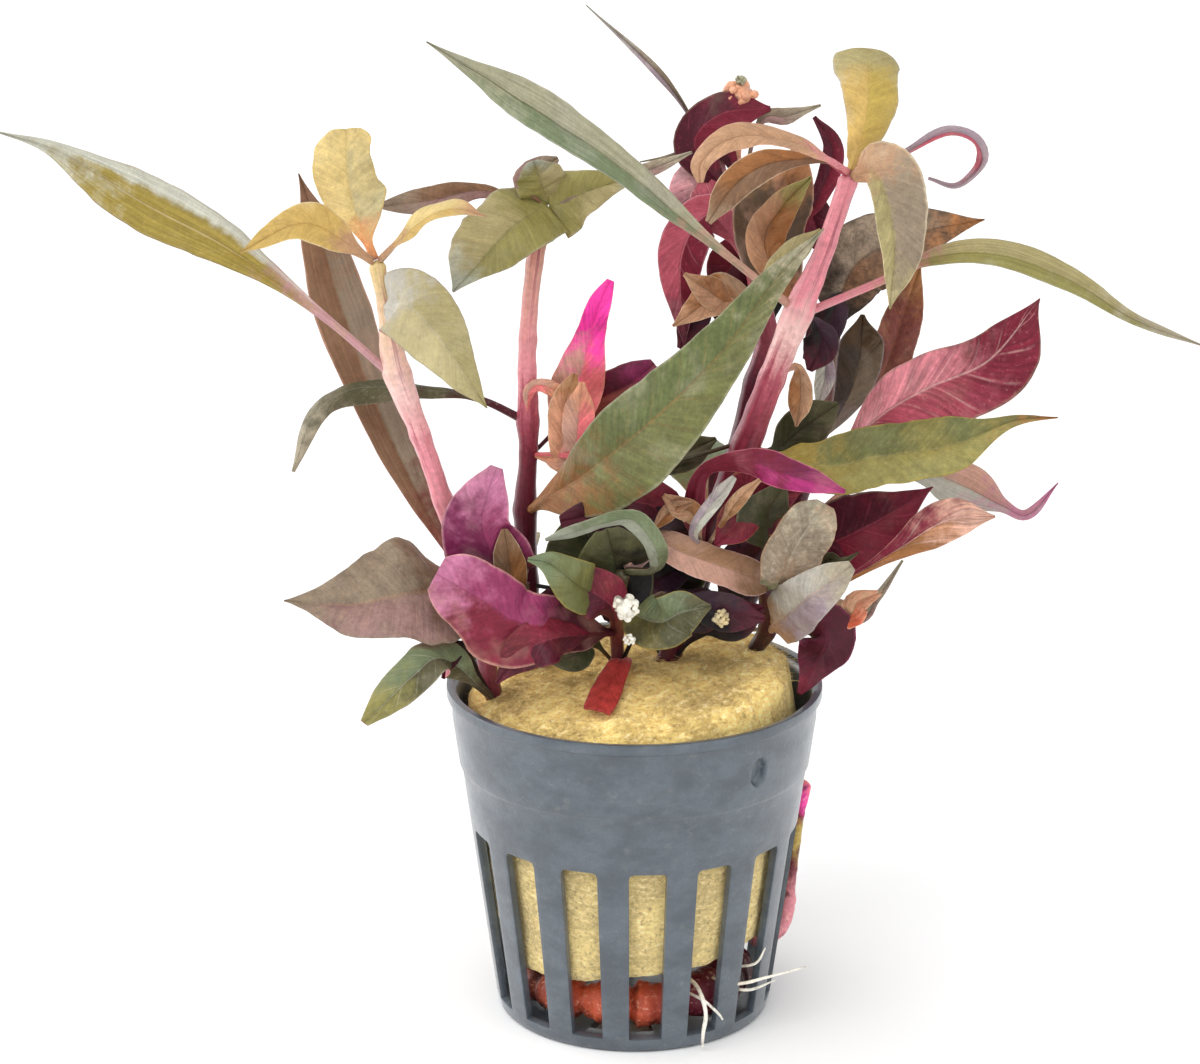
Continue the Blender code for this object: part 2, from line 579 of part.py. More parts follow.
def main():
    for old in list(bpy.data.objects):
        bpy.data.objects.remove(old)
    plant = bpy.data.collections.new("potted_alternanthera")
    cutters = bpy.data.collections.new("cutters")
    bpy.context.scene.collection.children.link(plant)
    bpy.context.scene.collection.children.link(cutters)
    cutters.hide_render = True
    make_pot(plant, cutters)
    make_wool(plant)
    for name, stem in STEMS.items():
        make_tube(name, stem_joints(stem), plant, stem.colour)
    for name, leaf in LEAVES.items():
        make_leaf(name, leaf, plant)
    make_tube("stem_ends", STEM_ENDS, plant, "orange_red", 5.0)
    make_tube("root_long", ROOT, plant, "root", 3.0)
    make_tube("side_sprig", sprig_points(), plant, "rose", 5.0)


main()
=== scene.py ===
# %% [markdown]
# # A potted alternanthera rosaefolia
# This lesson dresses an aquarium plant: cuttings with pink stems and olive to magenta leaves, rooted in
# mineral wool, in a slotted net pot. The packed solids already say where every stem and leaf is. Here
# each of them gets the surface that the real one shows, so the first step is to load them.

# %% Load the solids
import json
import math
import random
from functools import cache
from typing import NamedTuple

import bmesh
import bpy
from mathutils import Matrix, Vector, noise


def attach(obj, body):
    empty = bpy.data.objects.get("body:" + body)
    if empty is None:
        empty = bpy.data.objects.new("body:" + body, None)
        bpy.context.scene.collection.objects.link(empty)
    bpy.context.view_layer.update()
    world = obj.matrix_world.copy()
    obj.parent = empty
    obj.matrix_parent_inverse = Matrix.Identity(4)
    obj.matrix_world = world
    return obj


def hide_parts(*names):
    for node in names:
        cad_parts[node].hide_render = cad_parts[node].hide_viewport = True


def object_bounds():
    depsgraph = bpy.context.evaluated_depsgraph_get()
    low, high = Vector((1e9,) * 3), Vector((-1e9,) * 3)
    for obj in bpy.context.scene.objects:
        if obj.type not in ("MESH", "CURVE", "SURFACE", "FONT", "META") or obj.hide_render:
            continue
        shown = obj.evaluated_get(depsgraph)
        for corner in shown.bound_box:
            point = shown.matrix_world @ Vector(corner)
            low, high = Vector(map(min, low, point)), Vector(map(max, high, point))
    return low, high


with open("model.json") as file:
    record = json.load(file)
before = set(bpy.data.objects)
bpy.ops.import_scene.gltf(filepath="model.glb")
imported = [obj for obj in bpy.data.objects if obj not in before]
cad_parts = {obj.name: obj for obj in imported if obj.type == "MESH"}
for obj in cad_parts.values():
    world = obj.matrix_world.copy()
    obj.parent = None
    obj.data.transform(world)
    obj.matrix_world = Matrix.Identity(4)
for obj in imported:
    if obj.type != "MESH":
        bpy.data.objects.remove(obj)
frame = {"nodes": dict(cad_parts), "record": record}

MM = 0.001
CAD_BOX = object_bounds()
SLOT_OF = {part["node"]: part["material_slot"] for part in frame["record"]["subparts"]}
box_sides = [round(side / MM, 1) for corner in CAD_BOX for side in corner]
print("solids:", len(frame["nodes"]), "box in mm:", box_sides)

# %% [markdown]
# ## Camera, light and floor
# The photograph looks down on the pot a little, from half a metre away, with a long lens. The lens follows
# from how many pixels a millimetre takes at the pot's axis. White light from all round keeps the leaves'
# own colours, one broad lamp high at the left models them, a weak one low at the right lifts the shadows,
# one far to the left draws a bright edge on the pot, and a pale floor catches a faint shadow. Lamps of the
# sun kind light all of the plant evenly.

# %% Camera, light and floor
SIGHT_POINT = Vector((-4.86, 0.0, 70.4)) * MM
LOOK_DOWN = math.radians(17.1)
CAMERA_DISTANCE = 520 * MM
PICTURE_WIDTH = 1200
PIXELS_PER_MM = 7.17
SENSOR = 36.0
CLIP_NEAR, CLIP_FAR = 0.01, 40.0
SKY_STRENGTH = 0.8
KEY_FROM, KEY_STRENGTH, KEY_SPREAD = (-0.37, -0.52, 0.77), 1.15, 50
FILL_FROM, FILL_STRENGTH, FILL_SPREAD = (0.7, -0.57, 0.42), 0.45, 50
RIM_FROM, RIM_STRENGTH, RIM_SPREAD = (-0.88, 0.38, 0.16), 2.2, 60
FLOOR_REACH = 12.0
FLOOR_WHITE = 0.99
scene = bpy.context.scene


def make_camera():
    """A long lens that looks down on the sight point from in front."""
    sight = Vector((0, math.cos(LOOK_DOWN), -math.sin(LOOK_DOWN)))
    data = bpy.data.cameras.new("camera")
    data.sensor_width = SENSOR
    data.lens = SENSOR * CAMERA_DISTANCE / (PICTURE_WIDTH / PIXELS_PER_MM * MM)
    data.clip_start, data.clip_end = CLIP_NEAR, CLIP_FAR
    camera = bpy.data.objects.new("camera", data)
    camera.location = SIGHT_POINT - sight * CAMERA_DISTANCE
    camera.rotation_euler = (math.pi / 2 - LOOK_DOWN, 0, 0)
    scene.collection.objects.link(camera)
    scene.camera = camera
    print("lens:", round(data.lens, 1), "mm")


def make_lamp(name, source, strength, spread):
    """A far lamp that shines from the direction source and is spread degrees wide."""
    data = bpy.data.lights.new(name, "SUN")
    data.energy = strength
    data.angle = math.radians(spread)
    lamp = bpy.data.objects.new(name, data)
    lamp.rotation_mode = "QUATERNION"
    lamp.rotation_quaternion = Vector(source).to_track_quat("Z", "Y")
    scene.collection.objects.link(lamp)


def make_surroundings():
    """A white sky and three lamps."""
    world = bpy.data.worlds.new("studio")
    world.use_nodes = True
    world.node_tree.nodes["Background"].inputs["Color"].default_value = (1.0, 1.0, 1.0, 1.0)
    world.node_tree.nodes["Background"].inputs["Strength"].default_value = SKY_STRENGTH
    scene.world = world
    scene.view_settings.view_transform = "Standard"
    make_lamp("key", KEY_FROM, KEY_STRENGTH, KEY_SPREAD)
    make_lamp("fill", FILL_FROM, FILL_STRENGTH, FILL_SPREAD)
    make_lamp("rim", RIM_FROM, RIM_STRENGTH, RIM_SPREAD)


make_camera()
make_surroundings()

# %% [markdown]
# ## Wiring a material
# Every finish here is a node tree. Adding nodes by hand takes three lines each, so a small class holds
# the tree of one material, and each of its methods adds one node and gives back its output. Colours are
# named once, as the eye reads them on a screen, and turned into the linear values that shaders need.

# %% Named colours
PAINT = {
    "silver": (190, 189, 174), "pale_grey": (186, 181, 170), "stone": (164, 154, 132),
    "taupe": (142, 126, 106),
    "khaki": (160, 148, 102), "pale_khaki": (186, 173, 128), "olive_gold": (158, 138, 64),
    "straw": (210, 186, 124),
    "honey": (196, 164, 92), "gold": (184, 158, 78), "olive": (140, 133, 76), "olive_grey": (158, 155, 128),
    "moss": (104, 106, 62), "sage": (116, 128, 96), "grey_sage": (156, 160, 142), "deep_green": (58, 60, 34),
    "dusk_green": (84, 82, 56), "brown": (132, 100, 74), "red_brown": (122, 62, 52), "bark": (74, 54, 32),
    "charcoal": (74, 62, 54), "rust": (156, 104, 60), "tan": (184, 142, 108), "peach": (222, 160, 126),
    "pink_tan": (204, 158, 138), "cream": (226, 208, 176), "white": (240, 236, 224), "pink": (224, 140, 150),
    "pale_pink": (238, 198, 190), "rose": (180, 82, 98), "silver_rose": (206, 156, 160),
    "crimson": (120, 30, 50),
    "wine": (78, 20, 36), "magenta": (144, 52, 92), "light_magenta": (184, 112, 144),
    "deep_magenta": (116, 34, 74),
    "hot_magenta": (168, 46, 112), "hot_pink": (250, 62, 168), "coral": (236, 120, 124),
    "orange_red": (212, 94, 64),
    "lilac": (158, 140, 148), "red": (172, 58, 52), "slate": (92, 103, 113), "dark_slate": (76, 86, 96),
    "night": (24, 18, 20), "plum": (56, 32, 46), "wool_gold": (248, 218, 136), "wool_brown": (212, 182, 112),
    "wool_pale": (248, 234, 188), "rose_grey": (150, 118, 112), "apricot": (228, 152, 100),
    "leaf_green": (96, 104, 62),
}


def paint(name):
    """A named colour as linear red, green and blue with alpha, by the curve that screens use."""
    shares = [value / 255 for value in PAINT[name]]
    linear = [share / 12.92 if share < 0.04045 else ((share + 0.055) / 1.055) ** 2.4 for share in shares]
    return (*linear, 1.0)


print("colours:", len(PAINT))

# %% A helper for finishes
BUMP_STRENGTH = 0.7


class Finish:
    """One node material in the making. Each method adds a node and returns its output."""

    def __init__(self, name, rough=0.5, gloss=0.5, sheen=0.0):
        self.material = bpy.data.materials.new(name)
        self.material.use_nodes = True
        self.tree = self.material.node_tree
        self.shader = self.tree.nodes["Principled BSDF"]
        self.shader.inputs["Roughness"].default_value = rough
        self.shader.inputs["Specular IOR Level"].default_value = gloss
        self.shader.inputs["Sheen Weight"].default_value = sheen
        self.spots = self.add("ShaderNodeTexCoord", {}).outputs["Object"]

    def add(self, kind, values, **settings):
        node = self.tree.nodes.new(kind)
        for key, value in settings.items():
            setattr(node, key, value)
        for socket, value in values.items():
            if isinstance(value, bpy.types.NodeSocket):
                self.tree.links.new(value, node.inputs[socket])
            else:
                node.inputs[socket].default_value = value
        return node

    def math(self, operation, *values):
        return self.add("ShaderNodeMath", dict(enumerate(values)), operation=operation).outputs[0]

    def times(self, *values):
        """The product of all the values."""
        product = values[0]
        for value in values[1:]:
            product = self.math("MULTIPLY", product, value)
        return product

    def mix(self, share, below, above, way="MIX"):
        """One colour over another by a share."""
        values = {0: share, 6: below, 7: above}
        return self.add("ShaderNodeMix", values, data_type="RGBA", blend_type=way).outputs[2]

    def ease(self, value, low, high, start=0.0, end=1.0):
        """value taken smoothly from start to end as it goes from low to high."""
        limits = {"Value": value, "From Min": low, "From Max": high, "To Min": start, "To Max": end}
        return self.add("ShaderNodeMapRange", limits, interpolation_type="SMOOTHSTEP").outputs[0]

    def noise(self, where, scale, detail=3.0, rough=0.55):
        values = {"Vector": where, "Scale": scale, "Detail": detail, "Roughness": rough}
        return self.add("ShaderNodeTexNoise", values).outputs[0]

    def about_one(self, value, amount):
        """A factor near 1 that goes up and down with a noise by amount."""
        return self.math("MULTIPLY_ADD", value, amount, 1 - amount / 2)

    def stretch(self, where, x, y, z=1.0):
        return self.add("ShaderNodeVectorMath", {0: where, 1: (x, y, z)}, operation="MULTIPLY").outputs[0]

    def parts(self, where):
        """The x, y and z of a vector."""
        return self.add("ShaderNodeSeparateXYZ", {0: where}).outputs

    def uv(self, name):
        """The across and along values of a piece's own UV map, and the map itself."""
        where = self.add("ShaderNodeUVMap", {}, uv_map=name).outputs[0]
        return *self.parts(where)[:2], where

    def stops(self, value, colours):
        """A colour that runs through named ones at given shares."""
        ramp = self.add("ShaderNodeValToRGB", {0: value})
        band = ramp.color_ramp
        while len(band.elements) < len(colours):
            band.elements.new(0.5)
        for element, (share, name) in zip(band.elements, colours):
            element.position = share
            element.color = paint(name)
        return ramp.outputs[0]

    def brighten(self, colour, amount):
        return self.add("ShaderNodeVectorMath", {0: colour, "Scale": amount}, operation="SCALE").outputs[0]

    def finish(self, colour, height=None, depth=0.1, rough=None):
        """Gives the shader its colour and, if height is wired, a bump as deep as depth in millimetres."""
        self.tree.links.new(colour, self.shader.inputs["Base Color"])
        if rough is not None:
            self.tree.links.new(rough, self.shader.inputs["Roughness"])
        if height is not None:
            values = {"Height": height, "Strength": BUMP_STRENGTH, "Distance": depth * MM}
            bump = self.add("ShaderNodeBump", values)
            self.tree.links.new(bump.outputs[0], self.shader.inputs["Normal"])
        return self.material


print("ways to mix and shade:", len([way for way in vars(Finish) if not way.startswith("_")]))

# %% [markdown]
# ## Putting a piece in place
# Every mesh is made in millimetres around the pot's own origin, then scaled to metres at the end. The
# piece rides on the plant's only body and hides the solid that it stands for.

# %% Making a piece
def make_piece(name, bm, materials, nodes=(), slot=None):
    """Turns a bmesh in millimetres into a finished piece that replaces the named solids."""
    bmesh.ops.scale(bm, vec=(MM, MM, MM), verts=bm.verts)
    mesh = bpy.data.meshes.new(name)
    bm.to_mesh(mesh)
    bm.free()
    mesh.shade_smooth()
    for material in materials:
        mesh.materials.append(material)
    piece = bpy.data.objects.new(name, mesh)
    scene.collection.objects.link(piece)
    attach(piece, "root")
    if nodes:
        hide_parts(*nodes)
    slot or SLOT_OF[nodes[0]]
    return piece


def gather(whole, bm):
    """Adds a bmesh to a bigger one and frees it."""
    passing = bpy.data.meshes.new("passing")
    bm.to_mesh(passing)
    bm.free()
    whole.from_mesh(passing)
    bpy.data.meshes.remove(passing)


print("material slots of the solids:", len(set(SLOT_OF.values())))

# %% [markdown]
# ## Routes through points
# Stems, leaves and roots are all given by a few points, as a gardener would bend a wire through them. A
# curve object could join the points, but its twist is hard to hold. So the curve is worked out here: it
# passes smoothly through every point, and it carries a radius along where the points have one.

# %% Curves through points
SPAN_STEPS = 14
LOOK_ALONG = 0.015


def between(before, low, high, after, t):
    """A smooth value at t of the way from low to high, with one more value on each side."""
    rise = (high - before) * t + (2 * before - 5 * low + 4 * high - after) * t * t
    return 0.5 * (2 * low + rise + (3 * low - before - 3 * high + after) * t**3)


def smooth_curve(points):
    """A smooth curve through the points, with the share of the length gone at each of its places."""
    first = [2 * a - b for a, b in zip(points[0], points[1])]
    last = [2 * a - b for a, b in zip(points[-1], points[-2])]
    knots = [first, *points, last]
    fine = []
    for four in zip(knots, knots[1:], knots[2:], knots[3:]):
        for step in range(SPAN_STEPS):
            fine.append([between(*values, step / SPAN_STEPS) for values in zip(*four)])
    fine.append(list(points[-1]))
    gone = [0.0]
    for a, b in zip(fine, fine[1:]):
        gone.append(gone[-1] + math.dist(a[:3], b[:3]))
    return fine, [g / gone[-1] for g in gone], gone[-1]


def along_curve(curve, share):
    """The curve's values at a share of its length."""
    fine, gone, _ = curve
    low, high = 0, len(gone) - 1
    while high - low > 1:
        middle = (low + high) // 2
        low, high = (middle, high) if gone[middle] <= share else (low, middle)
    t = (share - gone[low]) / max(gone[high] - gone[low], 1e-9)
    return [a + (b - a) * t for a, b in zip(fine[low], fine[high])]


def curve_frame(curve, share, face):
    """The point, the way along, and the side and up directions of a curve at a share of its length."""
    here = Vector(along_curve(curve, share)[:3])
    behind = Vector(along_curve(curve, max(0.0, share - LOOK_ALONG))[:3])
    ahead = Vector(along_curve(curve, min(1.0, share + LOOK_ALONG))[:3])
    along = (ahead - behind).normalized()
    side = along.cross(face).normalized()
    return here, along, side, side.cross(along).normalized()


def ease(value, low, high):
    """0 below low, 1 above high, and a smooth rise between them."""
    t = min(1.0, max(0.0, (value - low) / (high - low)))
    return t * t * (3 - 2 * t)


print("halfway up a smooth rise:", ease(0.5, 0.0, 1.0))

# %% [markdown]
# ## Skins round a route
# A flat grid is the simplest mesh that already has rows, columns and a UV map. Rolled up round a route and
# merged where its edges meet, it becomes a closed skin with even faces and one seam. The same roll makes
# tubes here, and leaves later on.

# %% Rolled grids
MERGE_REACH = 0.0001
LONGEST_END = 0.3
END_ROUNDING = 1.2
END_LEFT = 0.04
TUBE_FACE = Vector((0.1, -1, 0.2))


def wrap_grid(rows, around, place, uv_name, rows_power=1.0):
    """A grid rolled into a closed skin. place(share along, turn around) gives each vertex its point.

    The UV map keeps the flat grid's own places: x is the turn and y the share along.
    """
    bm = bmesh.new()
    layer = bm.loops.layers.uv.new(uv_name)
    bmesh.ops.create_grid(bm, x_segments=rows, y_segments=around, size=1.0)
    spots = {}
    for v in bm.verts:
        row = round((v.co.x + 1) / 2 * rows)
        turn = round((v.co.y + 1) / 2 * around) / around
        spots[v] = (turn, 1 - (1 - row / rows) ** rows_power)
    for face in bm.faces:
        for loop in face.loops:
            loop[layer].uv = spots[loop.vert]
    for v, (turn, share) in spots.items():
        v.co = place(share, turn % 1.0)
    bmesh.ops.remove_doubles(bm, verts=bm.verts, dist=MERGE_REACH)
    rims = [e for e in bm.edges if e.is_boundary]
    bmesh.ops.holes_fill(bm, edges=rims, sides=0)
    bmesh.ops.recalc_face_normals(bm, faces=bm.faces)
    return bm, layer


def tube(points, around, rows, swell=None):
    """A closed skin round a route of x, y, z and radius. swell(point, share, turn) scales its radius."""
    curve = smooth_curve(points)
    end = min(LONGEST_END, END_ROUNDING * points[-1][3] / curve[2])

    def place(share, turn):
        here, _, side, up = curve_frame(curve, share, TUBE_FACE)
        radius = along_curve(curve, share)[3] * (swell(here, share, turn) if swell else 1.0)
        radius *= math.sqrt(max(0.0, 1 - ease(share, 1 - end, 1.0) ** 2)) + END_LEFT
        angle = 2 * math.pi * turn
        return here + (side * math.cos(angle) + up * math.sin(angle)) * radius

    return wrap_grid(rows, around, place, "skin")[0]


trial = tube(((0, 0, 0, 1.0), (0, 0, 10, 1.0)), 8, 8)
print("faces of a short trial tube:", len(trial.faces))
trial.free()

# %% [markdown]
# ## Floor
# A big pale plane under the pot, far wider than the picture. It isn't part of the object.

# %% Floor
def make_floor():
    bm = bmesh.new()
    bmesh.ops.create_grid(bm, x_segments=1, y_segments=1, size=FLOOR_REACH)
    mesh = bpy.data.meshes.new("floor")
    bm.to_mesh(mesh)
    bm.free()
    finish = Finish("pale_floor", rough=0.9, gloss=0.1)
    finish.shader.inputs["Base Color"].default_value = (FLOOR_WHITE, FLOOR_WHITE, FLOOR_WHITE, 1.0)
    mesh.materials.append(finish.material)
    floor = bpy.data.objects.new("floor", mesh)
    scene.collection.objects.link(floor)


make_floor()

# %% [markdown]
# ## The net pot
# The real pot is one thin injection moulding: a tapered wall with a small lip, fifteen tall slots in its
# lower part and a slotted floor. A turned wall with cutters would leave long thin faces that shade badly.
# So the wall and floor are unrolled as one grid, the faces of the slots are deleted, the grid is wrapped
# into the pot, and only then it gets its thickness and its rounded edges. One oval dimple, the mark of
# the mould, is pressed into a patch that is subdivided first. Sizes are in millimetres, and places round
# the pot in degrees.

# %% Sizes of the pot
POT_HEIGHT = 48.4
RIM_RADIUS = 26.5
FOOT_RADIUS = 19.5
WALL = 1.05
LIP_HEIGHT = 1.5
LIP_REACH = 0.65
BAND_STEP = 0.3
SLOT_COUNT = 15
SLOT_BOTTOM = 2.1
SLOT_TOP = 28.4
HALF_SLOT = 6.6
FIRST_SLOT = -85.7
FLOOR_SLOT_INNER = 7.0
FLOOR_SLOT_OUTER = 14.5
POT_EDGE = 0.14
DIMPLE_TURN = -48.3
DIMPLE_HEIGHT = 41.8
DIMPLE_HALF = (1.5, 2.3)
DIMPLE_DEPTH = 1.0
DIMPLE_FLAT = 0.72
DIMPLE_CUTS = 5
BAND_FOOT = 36.6
BAND_SHOULDER = 37.2
BAND_HEIGHTS = (44, 42, 40, 38.5, BAND_SHOULDER, 36.9, BAND_FOOT, 34, 31)
SLOT_HEIGHTS = (SLOT_TOP, SLOT_TOP - 0.8, 24, 20, 16, 12, 8, 4.5, SLOT_BOTTOM)
FLOOR_RADII = (16.5, FLOOR_SLOT_OUTER, 11, FLOOR_SLOT_INNER, 4, 0.0)
SLOT_COLUMNS = 6
CORNER_COLUMN = 1.6
INNER_COLUMN = 2.5
RIB_COLUMN = 1.8
CORNER_TURN = 0.45
CORNER_DROP = 0.22


def wall_radius(height):
    """The outer radius of the pot's wall below its lip."""
    top = RIM_RADIUS - LIP_REACH
    return FOOT_RADIUS + (top - FOOT_RADIUS) * height / (POT_HEIGHT - LIP_HEIGHT)


def pot_outline():
    """The outside of the pot from the lip's top edge down the wall and in to the middle of the floor."""
    lip_foot = POT_HEIGHT - LIP_HEIGHT
    outline = [(RIM_RADIUS, POT_HEIGHT), (RIM_RADIUS + 0.05, POT_HEIGHT - 0.7), (RIM_RADIUS, lip_foot + 0.1)]
    outline += [(wall_radius(lip_foot) + 0.15, lip_foot - 0.15)]
    outline += [(wall_radius(lip_foot - 0.5), lip_foot - 0.5)]
    outline += [(wall_radius(z) + BAND_STEP * ease(z, BAND_FOOT, BAND_SHOULDER), z) for z in BAND_HEIGHTS]
    outline += [(wall_radius(z), z) for z in SLOT_HEIGHTS]
    outline += [(FOOT_RADIUS, 1.0), (FOOT_RADIUS - 0.15, 0.4), (FOOT_RADIUS - 0.7, 0.0)]
    outline += [(r, 0.0) for r in FLOOR_RADII]
    return outline


def pot_columns():
    """The grid's columns over one slot and one rib, as degrees from the slot's middle."""
    pitch = 360 / SLOT_COUNT
    corner = HALF_SLOT - CORNER_COLUMN
    slot = (-HALF_SLOT, -corner, -INNER_COLUMN, 0.0, INNER_COLUMN, corner, HALF_SLOT)
    return (*slot, HALF_SLOT + RIB_COLUMN, pitch / 2, pitch - HALF_SLOT - RIB_COLUMN)


print("grid of the pot:", SLOT_COUNT * len(pot_columns()), "by", len(pot_outline()) - 1, "faces")

# %% The dimple
def press_dimple(bm):
    """An oval hollow in the band under the lip."""
    turn = math.radians(DIMPLE_TURN)
    out = Vector((math.cos(turn), math.sin(turn), 0))
    across = Vector((-out.y, out.x, 0))
    centre = out * (wall_radius(DIMPLE_HEIGHT) + BAND_STEP) + Vector((0, 0, DIMPLE_HEIGHT))
    reach = 2 * DIMPLE_HALF[1]
    near = [e for e in bm.edges if all((v.co - centre).length < reach for v in e.verts)]
    bmesh.ops.subdivide_edges(bm, edges=near, cuts=DIMPLE_CUTS, use_grid_fill=True)
    for v in bm.verts:
        offset = v.co - centre
        if offset.length < reach:
            away = math.hypot(offset.dot(across) / DIMPLE_HALF[0], offset.z / DIMPLE_HALF[1])
            v.co -= out * DIMPLE_DEPTH * (1 - ease(away, DIMPLE_FLAT, 1.0))


print("dimple in mm:", 2 * DIMPLE_HALF[0], "by", 2 * DIMPLE_HALF[1], "and", DIMPLE_DEPTH, "deep")

# %% [markdown]
# ### The pot's plastic
# Moulded polypropylene is one even colour, but melt that flowed and cooled leaves faint cloudy marks, and
# the surface is neither matt nor mirror. Noise at three scales gives the clouds, a mottle and a grain, a
# few pale scuffs lie over them, and a thin coat gives the soft highlight.

# %% Plastic
FLOW_STRETCH = (130, 130, 210)
SCUFF_STRETCH = (500, 500, 700)
MOTTLE_SCALE = 900
GRAIN_SCALE = 3600
PLASTIC_TONE = 0.78


def pot_plastic():
    """Slate grey polypropylene: flow marks, fine mottle, scuffs and a satin gloss."""
    f = Finish("slate_plastic", rough=0.42, gloss=0.45)
    f.shader.inputs["Coat Weight"].default_value = 0.8
    f.shader.inputs["Coat Roughness"].default_value = 0.22
    flow = f.noise(f.stretch(f.spots, *FLOW_STRETCH), 1.0, detail=5, rough=0.66)
    mottle = f.noise(f.spots, MOTTLE_SCALE, detail=5, rough=0.68)
    grain = f.noise(f.spots, GRAIN_SCALE, detail=2)
    scuff = f.noise(f.stretch(f.spots, *SCUFF_STRETCH), 1.0, detail=4, rough=0.7)
    colour = f.mix(f.ease(flow, 0.36, 0.64), paint("dark_slate"), paint("slate"))
    colour = f.mix(f.ease(scuff, 0.56, 0.74, 0.0, 0.12), colour, paint("silver"))
    shade = f.times(f.about_one(flow, 0.35), f.about_one(mottle, 0.4), f.about_one(grain, 0.35), PLASTIC_TONE)
    rough = f.math("MULTIPLY_ADD", mottle, 0.36, 0.24)
    return f.finish(f.brighten(colour, shade), height=f.math("ADD", grain, mottle), depth=0.07, rough=rough)


plastic = pot_plastic()
print("nodes of the plastic:", len(plastic.node_tree.nodes))

# %% [markdown]
# ### Building the pot
# The steps follow the list above: grid, slots, wrap, dimple. The corners at each slot's top are pulled in a
# little, because the real ones are rounded. Solidify and Bevel stay live as modifiers, so that the wall's
# thickness and the edges can still be changed.

# %% Build the pot
EDGE_SEGMENTS = 2
EDGE_ANGLE = 50
POT_MERGE = 0.001


def row_of(outline, part, value):
    """The first row of the outline whose radius (part 0) or height (part 1) is value."""
    return next(row for row, place in enumerate(outline) if place[part] == value)


def make_pot():
    """The wall and floor from one flat grid, whose rows follow the outline and whose columns go round."""
    outline = pot_outline()
    columns = pot_columns()
    count = len(columns)
    bm = bmesh.new()
    bmesh.ops.create_grid(bm, x_segments=SLOT_COUNT * count, y_segments=len(outline) - 1, size=1.0)
    spots = {}
    for v in bm.verts:
        column = round((v.co.x + 1) / 2 * SLOT_COUNT * count)
        row = round((v.co.y + 1) / 2 * (len(outline) - 1))
        spots[v] = (column, row)
    top_row, bottom_row = row_of(outline, 1, SLOT_TOP), row_of(outline, 1, SLOT_BOTTOM)
    outer_row, inner_row = row_of(outline, 0, FLOOR_SLOT_OUTER), row_of(outline, 0, FLOOR_SLOT_INNER)
    gone = []
    for face in bm.faces:
        column = min(spots[v][0] for v in face.verts)
        row = min(spots[v][1] for v in face.verts)
        in_slot = column % count < SLOT_COLUMNS and top_row <= row < bottom_row
        in_floor_slot = column % (2 * count) < SLOT_COLUMNS and outer_row <= row < inner_row
        if in_slot or in_floor_slot:
            gone.append(face)
    bmesh.ops.delete(bm, geom=gone, context="FACES")
    for v, (column, row) in spots.items():
        if not v.is_valid:
            continue
        sector, place = divmod(column, count)
        angle = FIRST_SLOT + 360 / SLOT_COUNT * sector + columns[place]
        radius, z = outline[row]
        if row == top_row and place in (0, SLOT_COLUMNS):
            angle -= math.copysign(CORNER_TURN, columns[place])
            z -= CORNER_DROP
            radius = wall_radius(z)
        turn = math.radians(angle)
        v.co = (radius * math.cos(turn), radius * math.sin(turn), z)
    bmesh.ops.remove_doubles(bm, verts=bm.verts, dist=POT_MERGE)
    bmesh.ops.recalc_face_normals(bm, faces=bm.faces)
    if sum(f.normal.dot(f.calc_center_median()) * f.calc_area() for f in bm.faces) < 0:
        bmesh.ops.reverse_faces(bm, faces=bm.faces)
    press_dimple(bm)
    pot = make_piece("net_pot_moulding", bm, [plastic], nodes=("net_pot",))
    wall = pot.modifiers.new("wall", "SOLIDIFY")
    wall.thickness = WALL * MM
    wall.offset = -1.0
    wall.use_even_offset = True
    edge = pot.modifiers.new("edge", "BEVEL")
    edge.width = POT_EDGE * MM
    edge.segments = EDGE_SEGMENTS
    edge.limit_method = "ANGLE"
    edge.angle_limit = math.radians(EDGE_ANGLE)
    print("pot faces:", len(pot.data.polygons))


make_pot()

# %% [markdown]
# ## The mineral wool
# The plug is pressed rock fibre, soaked and mustard coloured, that bulges over the rim like a pillow. Two
# things make it look like wool: lumps and pits that break up its outline, and loose fibres that stand off
# it. The lumps are noise that moves the vertices of a turned form, and the fibres are thin tapered rods.

# %% Sizes of the wool
WOOL_TOP_RADIUS = 22.7
WOOL_SHIFT = -0.8
WOOL_EDGE = 47.6
WOOL_DOME = 4.3
DOME_FLATNESS = 3
DOME_POWER = 0.55
WOOL_RIGHT_RISE = 2.1
WOOL_RIGHT_FLATNESS = 3
WOOL_FRONT_FALL = 1.6
WOOL_BOTTOM = 11.3
WOOL_BOTTOM_RISE = 2.3
WOOL_STEPS = 220
WOOL_GAP = 0.45
TOP_TUFT = 0.62
TUFT_LEAN = 0.35
SIDE_TUFT = 0.35
BOTTOM_TUFT = 0.8
TUFTED_BOTTOM_TO = 13
RISE_FROM, RISE_TO = 12, 30
BOTTOM_SHARES = (0.0, 0.3, 0.6, 0.85)
SIDE_ROWS = 31
TOP_ROWS = 52
TOP_ROWS_POWER = 1.35


def wool_top(x, y):
    """The height of the wool's domed top over a point."""
    out = min(1.0, math.hypot(x - WOOL_SHIFT, y) / WOOL_TOP_RADIUS)
    fall = WOOL_FRONT_FALL * max(0.0, -y / WOOL_TOP_RADIUS)
    rise = WOOL_RIGHT_RISE * x / WOOL_TOP_RADIUS
    flatness = DOME_FLATNESS + WOOL_RIGHT_FLATNESS * max(0.0, x / WOOL_TOP_RADIUS)
    return WOOL_EDGE + WOOL_DOME * (1 - out**flatness) ** DOME_POWER + rise - fall


